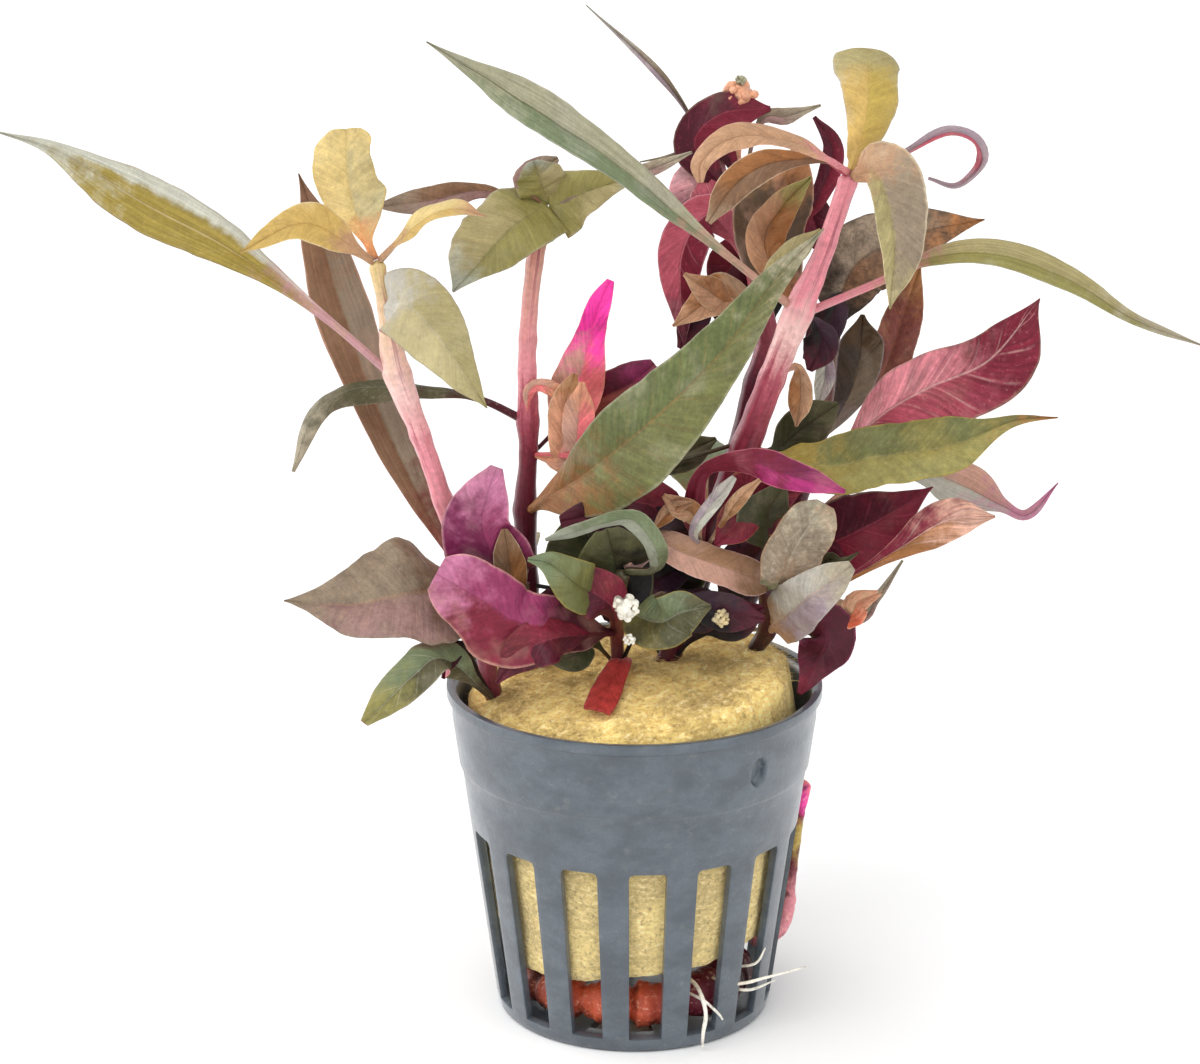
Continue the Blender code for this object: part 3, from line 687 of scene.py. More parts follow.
def tuft(point):
    """The wool's roughness at a point: lumps, smaller pits and fine fuzz."""
    lumps = noise.noise(point * 0.16) * 0.9
    pits = noise.noise(point * 0.55 + Vector((9, 0, 0))) * 0.5
    fuzz = noise.noise(point * 1.7) * 0.32
    return lumps + pits + fuzz


print("top of the wool in mm, in the middle:", round(wool_top(WOOL_SHIFT, 0), 1))

# %% The wool's finish
WOOL_LUMPS_SCALE = 150
WOOL_SWIRL_SCALE = 260
WOOL_SWIRL = 0.004
WOOL_FLATTEN = (1.0, 1.0, 2.2)
WOOL_STRANDS_SCALE = 900
WOOL_SPECKS_SCALE = 1500
PALE_FROM, PALE_TO, PALE_SHARE = 40 * MM, 32 * MM, 0.25
TOP_TONE, SLOT_PAINTED_SHADE = 1.22, -0.8


def wool_material():
    """Golden on the wet top, a little paler behind the slots, and dimmer there by painted shade inside the
    pot.
    """
    f = Finish("mineral_wool_mustard", rough=0.95, gloss=0.1, sheen=0.15)
    lumps = f.noise(f.spots, WOOL_LUMPS_SCALE, detail=4, rough=0.6)
    swirl = f.brighten(f.noise(f.spots, WOOL_SWIRL_SCALE, detail=2), WOOL_SWIRL)
    bent = f.add("ShaderNodeVectorMath", {0: f.stretch(f.spots, *WOOL_FLATTEN), 1: swirl}).outputs[0]
    strands = f.noise(bent, WOOL_STRANDS_SCALE, detail=6, rough=0.75)
    specks = f.noise(f.spots, WOOL_SPECKS_SCALE, detail=4, rough=0.75)
    colour = f.mix(f.ease(lumps, 0.38, 0.62), paint("wool_brown"), paint("wool_gold"))
    low = f.ease(f.parts(f.spots)[2], PALE_FROM, PALE_TO, 0.0, PALE_SHARE)
    colour = f.mix(low, colour, paint("wool_pale"))
    colour = f.mix(f.ease(strands, 0.5, 0.7, 0.0, 0.75), colour, paint("wool_pale"))
    colour = f.mix(f.ease(specks, 0.46, 0.32, 0.0, 0.5), colour, paint("brown"))
    # The shade factor falls below the rim: painted shade on the wool inside the pot.
    shade = f.times(f.about_one(strands, 1.5), f.about_one(lumps, 0.25), f.about_one(specks, 0.5),
                    f.math("MULTIPLY_ADD", low, SLOT_PAINTED_SHADE, TOP_TONE))
    return f.finish(f.brighten(colour, shade), height=f.math("ADD", strands, specks), depth=0.5)


wool_finish = wool_material()
print("nodes of the wool's finish:", len(wool_finish.node_tree.nodes))

# %% The plug
def wool_rings():
    """The plug's rings from the bottom's middle up the side and in to the top's: share out, height, part."""
    rings = [(share, WOOL_BOTTOM, "bottom") for share in BOTTOM_SHARES]
    rings += [(1.0, WOOL_BOTTOM + row, "side") for row in range(SIDE_ROWS)]
    return rings + [(1 - (row / TOP_ROWS) ** TOP_ROWS_POWER, 0.0, "top") for row in range(TOP_ROWS + 1)]


def make_wool(finish):
    """Spins a profile whose heights are ring numbers, then puts each ring in its place and roughens it."""
    rings = wool_rings()
    bm = bmesh.new()
    profile = [bm.verts.new((share, 0, index)) for index, (share, _, _) in enumerate(rings)]
    edges = [bm.edges.new(pair) for pair in zip(profile, profile[1:])]
    bmesh.ops.spin(bm, geom=profile + edges, cent=(0, 0, 0), axis=(0, 0, 1), angle=2 * math.pi,
                   steps=WOOL_STEPS, use_merge=True)
    bmesh.ops.remove_doubles(bm, verts=bm.verts, dist=MERGE_REACH)
    for v in bm.verts:
        share, height, kind = rings[round(v.co.z)]
        away = Vector((v.co.x, v.co.y))
        if kind == "top":
            x, y = away.x * WOOL_TOP_RADIUS + WOOL_SHIFT, away.y * WOOL_TOP_RADIUS
            point = Vector((x, y, wool_top(x, y)))
            v.co = point + Vector((away.x * TUFT_LEAN, away.y * TUFT_LEAN, 1.0)) * tuft(point) * TOP_TUFT
            continue
        low = ease(height, RISE_TO, RISE_FROM)
        z = height + (WOOL_BOTTOM_RISE * away.x) * low
        radius = wall_radius(z) - WALL - WOOL_GAP
        point = Vector((away.x * radius, away.y * radius, z))
        rough = tuft(point)
        bottom_dip = BOTTOM_TUFT * rough if kind == "bottom" or height < TUFTED_BOTTOM_TO else 0.0
        tufted = radius - SIDE_TUFT + rough * SIDE_TUFT
        v.co = (away.x * tufted, away.y * tufted, z + bottom_dip)
    bmesh.ops.recalc_face_normals(bm, faces=bm.faces)
    wool = make_piece("wool_plug_felt", bm, [finish], nodes=("wool_plug",))
    print("wool faces:", len(wool.data.polygons))


make_wool(wool_finish)

# %% [markdown]
# ### Loose fibres
# Rock fibres are stiff and short, and lie about in all directions. Hair would give thousands of them in a
# moment, but it leaves no mesh to export. A rod of three sides is thin enough to look round, so thousands
# of rods cost little. They are gathered in batches, because a bmesh slows down as it grows.

# %% Fibres
FIBRE_COUNT = 8000
FIBRE_BATCH = 300
FIBRE_LENGTH = 2.8
SHORTEST_FIBRE = 0.3
FIBRE_RADIUS = 0.034
FIBRE_SIDES = 3
FIBRE_TAPER = 0.5
FIBRE_SPREAD = 0.985
FIBRE_SUNK = 0.1
FIBRE_RISE = (-0.05, 0.45)
FIBRE_DROOP = 0.35
FIBRE_MARGIN = 0.7
random.seed(7)


def add_fibre(bm, base, way, length):
    """One straight tapered rod that starts at base."""
    turn = way.to_track_quat("Z", "Y").to_matrix().to_4x4()
    place = Matrix.Translation(base + way * length * 0.5) @ turn
    bmesh.ops.create_cone(bm, cap_ends=True, segments=FIBRE_SIDES, radius1=FIBRE_RADIUS,
                          radius2=FIBRE_RADIUS * FIBRE_TAPER, depth=length, matrix=place)


def make_fibres(finish):
    """Loose fibres that lie over the wool's top and stand a little off it."""
    whole = bmesh.new()
    bm = bmesh.new()
    for number in range(FIBRE_COUNT):
        turn = random.uniform(0, 2 * math.pi)
        out = math.sqrt(random.random()) * FIBRE_SPREAD
        x = math.cos(turn) * out * WOOL_TOP_RADIUS + WOOL_SHIFT
        y = math.sin(turn) * out * WOOL_TOP_RADIUS
        base = Vector((x, y, wool_top(x, y)))
        base.z += tuft(base) * TOP_TUFT - FIBRE_SUNK
        heading = random.uniform(0, 2 * math.pi)
        rise = random.uniform(*FIBRE_RISE)
        way = Vector((math.cos(heading), math.sin(heading), rise - FIBRE_DROOP * out**4)).normalized()
        if math.hypot(x + way.x * FIBRE_LENGTH, y + way.y * FIBRE_LENGTH) > RIM_RADIUS - WALL - FIBRE_MARGIN:
            way = Vector((-way.x, -way.y, way.z))
        add_fibre(bm, base, way, FIBRE_LENGTH * random.uniform(SHORTEST_FIBRE, 1.0))
        if number % FIBRE_BATCH == FIBRE_BATCH - 1:
            gather(whole, bm)
            bm = bmesh.new()
    gather(whole, bm)
    fibres = make_piece("wool_fibres", whole, [finish], slot="mineral_wool")
    print("fibre faces:", len(fibres.data.polygons))


make_fibres(wool_finish)

# %% [markdown]
# ## Where the plants stand
# The stems' joints are read off the photograph, with a depth that keeps the outline from the front: a
# place that lies deeper is drawn out along the line of sight. The same small formula as in the solids
# puts every joint and every leaf's midrib over the pot.

# %% Joints of the stems
PLANTS_AT = (0.7, 0.0, 0.4)
DEPTH_SPREAD = 1.5
SIGHT_FALL = 0.3
STEM_FOOT = 3.0


class Stem(NamedTuple):
    """A stem: its joints as x, y, z and radius, and its colours from the wool up, as share and name."""

    joints: tuple
    colours: tuple


STEMS = {
    "stem_left": Stem((
        (-20.5, -3, 50, 1.2), (-23.5, -4, 63.5, 1.35), (-27, -5, 76, 1.3), (-30, -5, 85.5, 1.3),
        (-33, -6, 94.5, 1.75), (-34.5, -6, 103.5, 0.95), (-35.5, -6, 110, 1.1),
    ), ((0.0, "wine"), (0.22, "rose"), (0.36, "pink"), (0.6, "pink"), (0.74, "pale_pink"), (1.0, "straw"))),
    "stem_middle": Stem((
        (-14.5, 1, 50, 1.2), (-15.5, 1, 62, 1.25), (-16, 1, 73, 1.5), (-15.5, 1, 81, 1.2),
        (-15.5, 1, 86, 1.45), (-15.5, 1, 97.5, 1.15), (-14.5, 2, 108, 1.1), (-12.8, 4, 115.5, 1.2),
    ), ((0.0, "wine"), (0.36, "wine"), (0.5, "crimson"), (0.58, "rose"), (0.66, "pink"), (0.9, "pink_tan"),
        (1.0, "brown"))),
    "stem_right": Stem((
        (4, -1, 50, 1.6), (9, -2, 68.5, 1.65), (14.5, -2, 83, 1.9), (18, -3, 93, 1.7),
        (21.5, -3, 102.5, 1.9), (25, -4, 112, 1.2), (28, -4, 121.5, 1.35),
    ), ((0.0, "wine"), (0.3, "wine"), (0.46, "crimson"), (0.6, "rose"), (0.7, "pale_pink"), (0.78, "pink"),
        (1.0, "pink"))),
    "stem_rosette": Stem((
        (7.5, 9, 50, 1.3), (10.5, 9, 66, 1.3), (14, 9, 79.5, 1.35), (16, 9, 89, 1.25),
        (18, 9, 96.5, 1.4), (15.5, 10, 107, 1.1), (13.5, 10, 116, 1.3),
    ), ((0.0, "night"), (0.4, "wine"), (0.6, "wine"), (0.8, "rose"), (1.0, "pink"))),
    "stem_back_right": Stem((
        (13.5, 9, 50, 1.2), (19.5, 10, 64, 1.3), (24, 11, 75, 1.4), (27, 13, 86, 1.1),
        (27.5, 13, 96, 1.2),
    ), ((0.0, "night"), (0.5, "wine"), (0.8, "rose_grey"), (1.0, "taupe"))),
    "stem_front": Stem((
        (-3, -1, 50, 0.9), (-3.2, -1.5, 56, 0.9), (-3.2, -5, 61, 1.0), (-2.5, -8, 67, 1.0),
    ), ((0.0, "wine"), (0.6, "red_brown"), (1.0, "dusk_green"))),
    "stem_front_right": Stem((
        (16.5, 1, 50, 1.1), (18, -0.5, 56.2, 1.2), (17.5, -3.5, 63.6, 1.1),
    ), ((0.0, "night"), (1.0, "wine"))),
}


def over_pot(place):
    """A place of the plants' own in the pot's frame."""
    x, y, z = place
    deeper = y * (DEPTH_SPREAD - 1)
    return x + PLANTS_AT[0], y + deeper + PLANTS_AT[1], z - deeper * SIGHT_FALL + PLANTS_AT[2]


def stem_joints(name):
    """The stem's joints over the pot, with the first one on the wool."""
    joints = [[*over_pot(joint[:3]), joint[3]] for joint in STEMS[name].joints]
    joints[0][2] = wool_top(*joints[0][:2])
    return joints


print("stems:", len(STEMS))

# %% [markdown]
# ## The stems
# A stem is juicy and slightly ribbed, swells at each node where a pair of leaves leaves it, and runs
# from dark wine at the wool to pale pink at the top. A curve with a bevel would be round all over, so a
# rolled grid is used instead, because its formula can swell and rib it. Colour stops along its UV map,
# streaks drawn out along it and a darker ring at each node give the finish.

# %% Stems
STEM_AROUND = 28
STEM_ROWS_PER_MM = 2.0
RIB_COUNT = 7
RIB_DEPTH = 0.03
COLLAR = 0.14
COLLAR_REACH = 1.2
STEM_UNEVEN = 0.09
MIN_STEM_ROWS = 16
RING_REACH = 0.011
STREAK_STRETCH = (11, 4)
FINE_STRETCH = (46, 12)
STEM_CELLS_SCALE = 1500
FLESH_GLOW = 0.1
FLESH_DEPTHS = (1.6 * MM, 0.5 * MM, 0.4 * MM)


def stem_skin(name, colours, rings):
    """Juicy stem tissue: colour stops from the wool up, streaks along it and a dark ring at each node."""
    f = Finish(name, rough=0.3, gloss=0.45)
    _, along, where = f.uv("skin")
    streak = f.noise(f.stretch(where, *STREAK_STRETCH), 1.0, detail=4, rough=0.6)
    fine = f.noise(f.stretch(where, *FINE_STRETCH), 1.0, detail=3, rough=0.6)
    cells = f.noise(f.spots, STEM_CELLS_SCALE, detail=3, rough=0.65)
    slow, quick = f.math("MULTIPLY_ADD", streak, 0.2, -0.1), f.math("MULTIPLY_ADD", cells, 0.06, -0.03)
    wander = f.math("ADD", slow, quick)
    colour = f.stops(f.math("ADD", along, wander), colours)
    colour = f.mix(f.ease(fine, 0.55, 0.72, 0.0, 0.5), colour, paint("pale_pink"), "SOFT_LIGHT")
    colour = f.mix(f.ease(streak, 0.45, 0.3, 0.0, 0.6), colour, paint("crimson"))
    for ring in rings:
        away = f.math("ABSOLUTE", f.math("SUBTRACT", f.math("MULTIPLY_ADD", wander, 0.1, along), ring))
        colour = f.mix(f.ease(away, 0.0, RING_REACH, 0.15, 0.0), colour, paint("crimson"))
    shade = f.times(f.about_one(fine, 0.45), f.about_one(cells, 0.7))
    f.shader.inputs["Subsurface Weight"].default_value = FLESH_GLOW
    f.shader.inputs["Subsurface Radius"].default_value = FLESH_DEPTHS
    f.shader.inputs["Subsurface Scale"].default_value = 1.0
    return f.finish(f.brighten(colour, shade), height=f.math("ADD", fine, cells), depth=0.1)


def make_stem(name):
    """A stem that starts inside the wool, with a collar at each of its nodes."""
    joints = stem_joints(name)
    first, second = Vector(joints[0][:3]), Vector(joints[1][:3])
    foot = first - (second - first).normalized() * STEM_FOOT
    points = [[*foot, joints[0][3]]] + joints
    nodes = [Vector(joint[:3]) for joint in joints[1:]]
    _, gone, length = smooth_curve(points)

    def swell(here, share, turn):
        near = min((here - node).length for node in nodes)
        collar = 1 + COLLAR / joints[1][3] * math.exp(-((near / COLLAR_REACH) ** 2))
        rib = 1 + RIB_DEPTH * math.cos(RIB_COUNT * 2 * math.pi * turn + 4 * share)
        uneven = STEM_UNEVEN * noise.noise(here * 0.4 + Vector((math.cos(2 * math.pi * turn), 0, 0)))
        return collar * rib * (1 + uneven)

    bm = tube(points, STEM_AROUND, max(MIN_STEM_ROWS, round(length * STEM_ROWS_PER_MM)), swell)
    rings = [gone[number * SPAN_STEPS] for number in range(2, len(points) - 1)]
    make_piece(f"{name}_skin", bm, [stem_skin(f"{name}_juicy", STEMS[name].colours, rings)], nodes=(name,))
    return length


for stem_name in STEMS:
    print(stem_name, "length in mm:", round(make_stem(stem_name), 1))

# %% [markdown]
# ## The leaves: shape
# A leaf is a thin blade on a stalk. Its midrib stands out below and is a groove above, side veins leave
# it at a slant, and the blade puckers between them, folds along the midrib and ripples at its edge. One
# formula makes them all: a closed skin round a flat section, bent along the midrib's route. Each leaf has
# its own row of values for that formula, read from the photograph. Its half widths are measured at even
# steps from the stalk to the tip, on either side of the midrib, because no two halves are alike.

# %% What a leaf's row says
class Leaf(NamedTuple):
    """A leaf: the stem's joint it grows at, the midrib's route, and how its blade is bent and finished.

    face is where its upper side looks. minus and plus are the half widths on either side, in mm. fold is
    the angle that each half rises by, curl bends the halves on, stalk is the share of the length before
    the blade, and wave is the ripple's height at the edge. A small leaf alone has a slot, and its stalk of
    None ends at the first point of its path.
    """

    stem: str
    joint: int
    path: tuple
    face: tuple
    minus: tuple
    upper: str
    under: str
    plus: tuple = ()
    stalk: float | None = 0.12
    fold: float = 14.0
    curl: float = -8.0
    wave: float = 0.45
    waves: float = 2.5
    veins: float = 9.0
    slot: str = ""


print("values that a leaf's row can give:", len(Leaf._fields))

# %% Leaves of the left stem
LEAVES = {
    "leaf_left_long": Leaf("stem_left", 4, (
        (-42.5, -7, 102.3), (-54.5, -8, 111.8), (-65.5, -9, 118.3), (-76, -10, 125), (-85, -11, 128.3),
    ), (0.1, -0.8, 0.6), (0.6, 0.9, 1.8, 3.3, 4.3, 4.4, 2.8, 0.7, 0.1), "left_long", "under_rose",
        (0.6, 1.1, 2, 3.5, 4.3, 3.6, 2, 1, 0.1), stalk=0.16, fold=22, veins=12),
    "leaf_left_tall": Leaf("stem_left", 1, (
        (-28.3, 3, 69), (-34.6, 4, 82), (-40.6, 6, 97.5), (-44.2, 6, 110.5), (-47, 5, 120),
    ), (0.3, -0.95, 0.1), (0.6, 1.8, 2.8, 3.6, 4, 2.9, 0.1), "left_tall", "under_magenta", veins=12),
    "leaf_left_upright": Leaf("stem_left", 6, ((-39.2, -3, 118.5), (-39.9, 0, 127)), (0, -1, 0.2),
        (0.6, 1.8, 3.6, 4.5, 4.4, 3.6), "left_upright", "under_rose", (0.6, 3.2, 4.9, 3.9, 3.2, 3.8),
        fold=8, veins=7),
    "leaf_left_young": Leaf("stem_left", 6, ((-44.5, -8, 115.5), (-53, -11, 112)), (0, -0.8, 0.6),
        (0.8, 2.5, 2.9, 2.2, 1.3, 0.1), "left_young", "under_tan", veins=7),
    "leaf_left_inner": Leaf("stem_left", 6, ((-29.5, -8.5, 115.8), (-25, -10, 117.8), (-20.5, -11, 116.8)),
        (0, -0.5, 0.85), (0.5, 1.5, 2.2, 2.1, 1.3, 0.1), "left_inner", "under_tan", veins=7),
    "leaf_left_hanging": Leaf("stem_left", 5, ((-31.5, -10, 105), (-27, -12, 101), (-20.5, -14, 91.5)),
        (0.2, -0.9, 0.4), (3.4, 5, 5, 3.5, 1.9, 0.1), "left_hanging", "under_rose",
        (3.4, 5, 5.2, 4.2, 2.6, 0.1), stalk=0.02, veins=7),
}
print("leaves so far:", len(LEAVES))

# %% Leaves of the middle stem
LEAVES |= {
    "leaf_middle_drooping": Leaf("stem_middle", 4, (
        (-22, 1.5, 88.7), (-28, 1, 90), (-36, 1, 90.4), (-40.7, 0, 90), (-44.7, -1, 87.3), (-47.8, -3, 79.6),
    ), (0, -0.6, 0.8), (0.6, 1.4, 2, 2.3, 1.9, 1.2, 0.3), "middle_drooping", "under_dark", stalk=0.22,
        fold=-20),
    "leaf_middle_broad": Leaf("stem_middle", 7, ((-17.5, 0, 113.5), (-25.5, -3, 105)), (-0.1, -0.85, 0.5),
        (5.3, 5.3, 5, 3.6, 1.8, 0.2), "middle_broad", "under_rose", (4.7, 5.4, 5.6, 5.5, 4.4, 0.2),
        stalk=0.02, veins=7),
    "leaf_middle_right": Leaf("stem_middle", 7, ((-7.5, 2.5, 118), (-0.1, 1, 120.3)), (0, -0.9, 0.4),
        (4.7, 4, 3, 2.2, 1.3, 0.2), "middle_right", "under_dark", (5, 4.6, 3.4, 2.2, 1.2, 0.2), stalk=0.02,
        veins=6),
    "leaf_large_front": Leaf("stem_middle", 2, (
        (-7, -8, 81.5), (2, -12, 90), (10.5, -13, 99), (17.5, -12, 108.5), (24, -10, 115),
    ), (-0.2, -0.9, 0.35), (0.8, 2.4, 4, 5.4, 5.2, 4.2, 3, 1.7, 0.1), "large_front", "under_magenta",
        (0.8, 4.4, 6.8, 7.5, 6.2, 4.2, 2.8, 1.6, 0.1), stalk=0.04, fold=12, veins=13),
    "shoot_pink": Leaf("stem_middle", 3, (
        (-11, 2, 80), (-10.3, 1, 84.5), (-9.2, 1, 89.1), (-7.9, 1, 93.8), (-6.9, 1, 98.1), (-5.7, 0, 102.5),
        (-4.1, 0, 106),
    ), (0, -1, 0.1), (0.5, 1.8, 3.4, 3.8, 3.2, 2.3, 1.9, 1.6, 1), "shoot_pink", "shoot_pink", fold=4, curl=6,
        stalk=0.2, veins=6, wave=0.9, waves=4),
}
print("leaves so far:", len(LEAVES))

# %% Leaves of the right stem
LEAVES |= {
    "leaf_right_high": Leaf("stem_right", 4, (
        (8, -6, 113.5), (-2.5, -8, 122.8), (-13.5, -10, 130.8), (-28, -12, 140),
    ), (0.2, -0.8, 0.55), (0.6, 1, 1.8, 2.3, 2.9, 3, 2.6, 1.3, 0.1), "right_high", "under_tan", stalk=0.18,
        veins=12, fold=20),
    "leaf_right_far": Leaf("stem_right", 4, (
        (32, -4, 106.5), (39.5, -6, 110.5), (48, -8, 111.2), (57.5, -9, 107.6), (65.5, -9, 102.6),
        (75.5, -8, 98.5),
    ), (0, -0.8, 0.6), (0.6, 1.6, 2.2, 2.1, 1.6, 1.1, 0.7, 0.1), "right_far", "under_tan", stalk=0.25,
        veins=12, fold=22),
    "leaf_right_upright": Leaf("stem_right", 6, ((30.3, -1.5, 129.5), (30.5, 2, 137.5)), (0.1, -1, 0.1),
        (1.2, 2.2, 2.9, 3.8, 4.5, 5.7), "right_upright", "under_tan", (1.2, 3.3, 4.5, 5.4, 5, 6.2), fold=-10,
        curl=-20, veins=7),
    "leaf_right_hanging": Leaf("stem_right", 6, ((31.5, -8, 121.5), (33.4, -10, 113), (32.7, -12, 104.5)),
        (0.2, -1, 0.3), (1.2, 5, 5.4, 4.3, 2.6, 0.1), "right_hanging", "under_rose",
        (1, 1.8, 2.2, 2, 1.4, 0.1),
        stalk=0.02, veins=7),
    "leaf_right_arching": Leaf("stem_right", 6, (
        (21.5, -8, 125.8), (15.5, -10, 127.6), (10.4, -11.5, 126.9), (7.6, -12, 124.2), (7.5, -12, 121.5),
    ), (0, -0.5, 0.85), (1.3, 1.6, 2.1, 2.4, 2.3, 1.9, 0.8), "right_arching", "under_rose", veins=8),
    "leaf_right_dark": Leaf("stem_right", 4, ((18.5, 3.5, 107.5), (18, 4, 115), (21.5, 4, 123.5)),
        (0, -1, 0.2),
        (1, 4, 6, 6.5, 4.8, 1.5), "right_dark", "under_dark", (1, 4, 6.2, 7, 6, 2.5), fold=-30, veins=8),
    "shoot_right": Leaf("stem_right", 4, ((17, 1, 110.5), (19, -0.5, 116), (23, -1, 120.5)), (0, -1, 0.2),
        (0.8, 2.4, 3.1, 2.9, 2, 0.3), "shoot_right", "under_tan", fold=36, veins=6),
    "tendril_right": Leaf("stem_right", 6, (
        (34.7, -3, 123.8), (40.7, -2.5, 126.9), (44.8, -2, 125.8), (45.8, -1.5, 122.5), (42.7, -1, 119.3),
        (38.8, -1, 120.3),
    ), (0, -0.6, 0.8), (0.5, 0.6, 1, 1.1, 0.9, 0.6, 0.3), "tendril", "under_magenta", fold=30, veins=3,
        wave=0.1),
}
print("leaves so far:", len(LEAVES))

# %% Leaves of the rosette and of the stem at the back right
LEAVES |= {
    "leaf_rosette_arc": Leaf("stem_rosette", 6, ((7.5, 7, 123.5), (11, 7, 128), (18, 9, 128.5)),
        (0, 0.9, -0.2),
        (0.8, 2.4, 3, 3, 2.4, 0.4), "dark_green", "under_crimson", veins=7),
    "leaf_rosette_left": Leaf("stem_rosette", 5, ((9.7, 7, 114), (5.7, 6, 108), (6.2, 5, 95.5)),
        (0, 0.95, -0.1),
        (0.6, 2.2, 3.3, 3.4, 2.6, 1.4, 0.1), "dark_green", "under_rosette", veins=8),
    "leaf_rosette_thin": Leaf("stem_rosette", 6, ((8.5, 13, 122), (7, 12, 127), (2, 9, 134), (-7.5, 8, 143)),
        (0, -1, 0.3), (0.25, 0.25, 0.3, 0.5, 0.75, 0.6, 0.3, 0.1), "thin_lilac", "thin_lilac", fold=30,
        veins=3,
        wave=0.1),
    "leaf_rosette_tan": Leaf("stem_rosette", 4, ((12, 5, 103), (4.5, 2.5, 99)), (0, -0.8, 0.6),
        (0.6, 2.4, 3.2, 2.8, 1.8, 0.2), "rosette_tan", "under_tan", veins=6, wave=0.7),
    "leaf_back_mottled": Leaf("stem_back_right", 4, ((30, 9, 106), (38, 10, 110.5), (48.5, 11, 112.5)),
        (0, -0.9, 0.4), (1, 4, 5.3, 5.2, 4, 2, 0.1), "back_mottled", "under_dark", stalk=0.05, veins=8),
    "leaf_back_red": Leaf("stem_back_right", 3, ((34, 12, 88), (37.5, 13, 97.5), (40, 13, 106)),
        (0.3, -0.9, 0.2),
        (0.6, 2.2, 3.2, 3.4, 2.8, 1.5, 0.1), "back_red", "under_crimson", veins=8),
    "leaf_back_grey": Leaf("stem_rosette", 2, ((22, 8.5, 79.5), (28, 9.5, 84), (31, 10, 91), (31.5, 10, 99)),
        (0, -1, 0.1), (0.6, 0.9, 1.6, 2.6, 3.3, 3, 0.6), "back_grey", "under_dark", stalk=0.3, veins=8),
}
print("leaves so far:", len(LEAVES))

# %% Leaves that reach out at the right side
LEAVES |= {
    "leaf_side_rose": Leaf("stem_back_right", 2,
        ((34, 5, 85.5), (40.5, 4, 89.8), (48.5, 3, 94), (55, 2, 103)),
        (0.1, 0.9, -0.4), (0.6, 4, 6, 6.4, 5.5, 0.1), "dark_green", "under_side_rose",
        (0.6, 3.5, 4.8, 4.4, 3, 0.1),
        stalk=0.2),
    "leaf_side_crimson": Leaf("stem_back_right", 1, ((26, 2, 67.5), (33, 0, 71.5), (40.5, -1.5, 77)),
        (0, 0.9, -0.3),
        (0.6, 3, 5.2, 5.5, 4.2, 2, 0.1), "dark_green", "under_crimson", stalk=0.2, veins=8),
    "leaf_side_curled": Leaf("stem_back_right", 1, (
        (30, 9, 73.5), (39, 6, 77.2), (45, 1, 76.5), (50, -2, 74.5), (53.5, -3, 73.5), (57.5, -3, 78),
    ), (0, -0.9, 0.4), (0.6, 1, 2.2, 3.3, 3, 1, 0.7, 0.1), "side_curled", "under_tan", stalk=0.35),
    "leaf_side_green": Leaf("stem_right", 2, (
        (24.5, -4.5, 80.9), (32.5, -6, 82.9), (42, -8, 84.9), (50, -9, 88.4), (56, -9, 88.9),
    ), (0, -0.8, 0.6), (3, 4.1, 4.6, 4.6, 4.4, 3.7, 1.7, 0.7, 0.1), "side_green", "under_crimson", stalk=0.15,
        veins=10),
    "leaf_side_magenta": Leaf("stem_right", 1, (
        (7.3, -6, 75), (8.7, -7.5, 81.1), (14.7, -9, 82.8), (19.3, -10, 81.4), (23.7, -11, 80.3),
        (27.4, -11, 79.1),
    ), (0, 0.9, 0.1), (0.8, 1.6, 1.4, 1, 1.7, 2.5, 1.9, 0.3), "dark_green", "under_hot_magenta", stalk=0.05,
        veins=8),
    "leaf_side_striped": Leaf("stem_front_right", 2, (
        (23, -2.5, 61), (29, -5.5, 65.2), (35, -8, 70), (41.5, -9, 74.5), (48, -9, 75),
    ), (0, -0.9, 0.4), (0.5, 0.8, 1.6, 2.8, 2.6, 0.2), "side_striped", "under_crimson", stalk=0.4, veins=5),
    "leaf_side_low": Leaf("stem_front_right", 1,
        ((24, -1.5, 57.3), (26.3, -2, 55.4), (24.6, -1.5, 51.1), (22.3, -3, 47.2)),
        (0, 0.9, 0.2), (0.6, 2.8, 4, 4, 3, 1.8, 0.6), "dark_green", "under_side_low", veins=7, wave=0.8),
}
print("leaves so far:", len(LEAVES))

# %% Leaves in front
LEAVES |= {
    "leaf_front_tan": Leaf("stem_front", 3, ((1.6, -6.5, 70.4), (6.8, -6, 68.4), (12.3, -5.5, 66.2),
        (17.7, -4.5, 64)),
        (0, 0.8, -0.6), (1.6, 2.2, 2.5, 2.7, 2.8, 2.4), "dark_green", "under_front_tan", stalk=0.04, fold=8),
    "leaf_front_olive": Leaf("stem_front_right", 2,
        ((19.4, -8, 65.5), (21.2, -8.5, 70.5), (25, -8.5, 76.6)), (0.2, -0.95, 0.2),
        (1.2, 2.9, 3.9, 4.1, 3.8, 2.6), "front_olive", "under_rose", veins=7),
    "leaf_front_pale": Leaf("stem_front_right", 1, ((22.5, -10, 63.6), (28.5, -11, 68.7)), (0, -0.9, 0.4),
        (3.2, 3.9, 4, 3.6, 2.9, 1.4), "front_pale", "under_tan", veins=7),
}
print("leaves so far:", len(LEAVES))

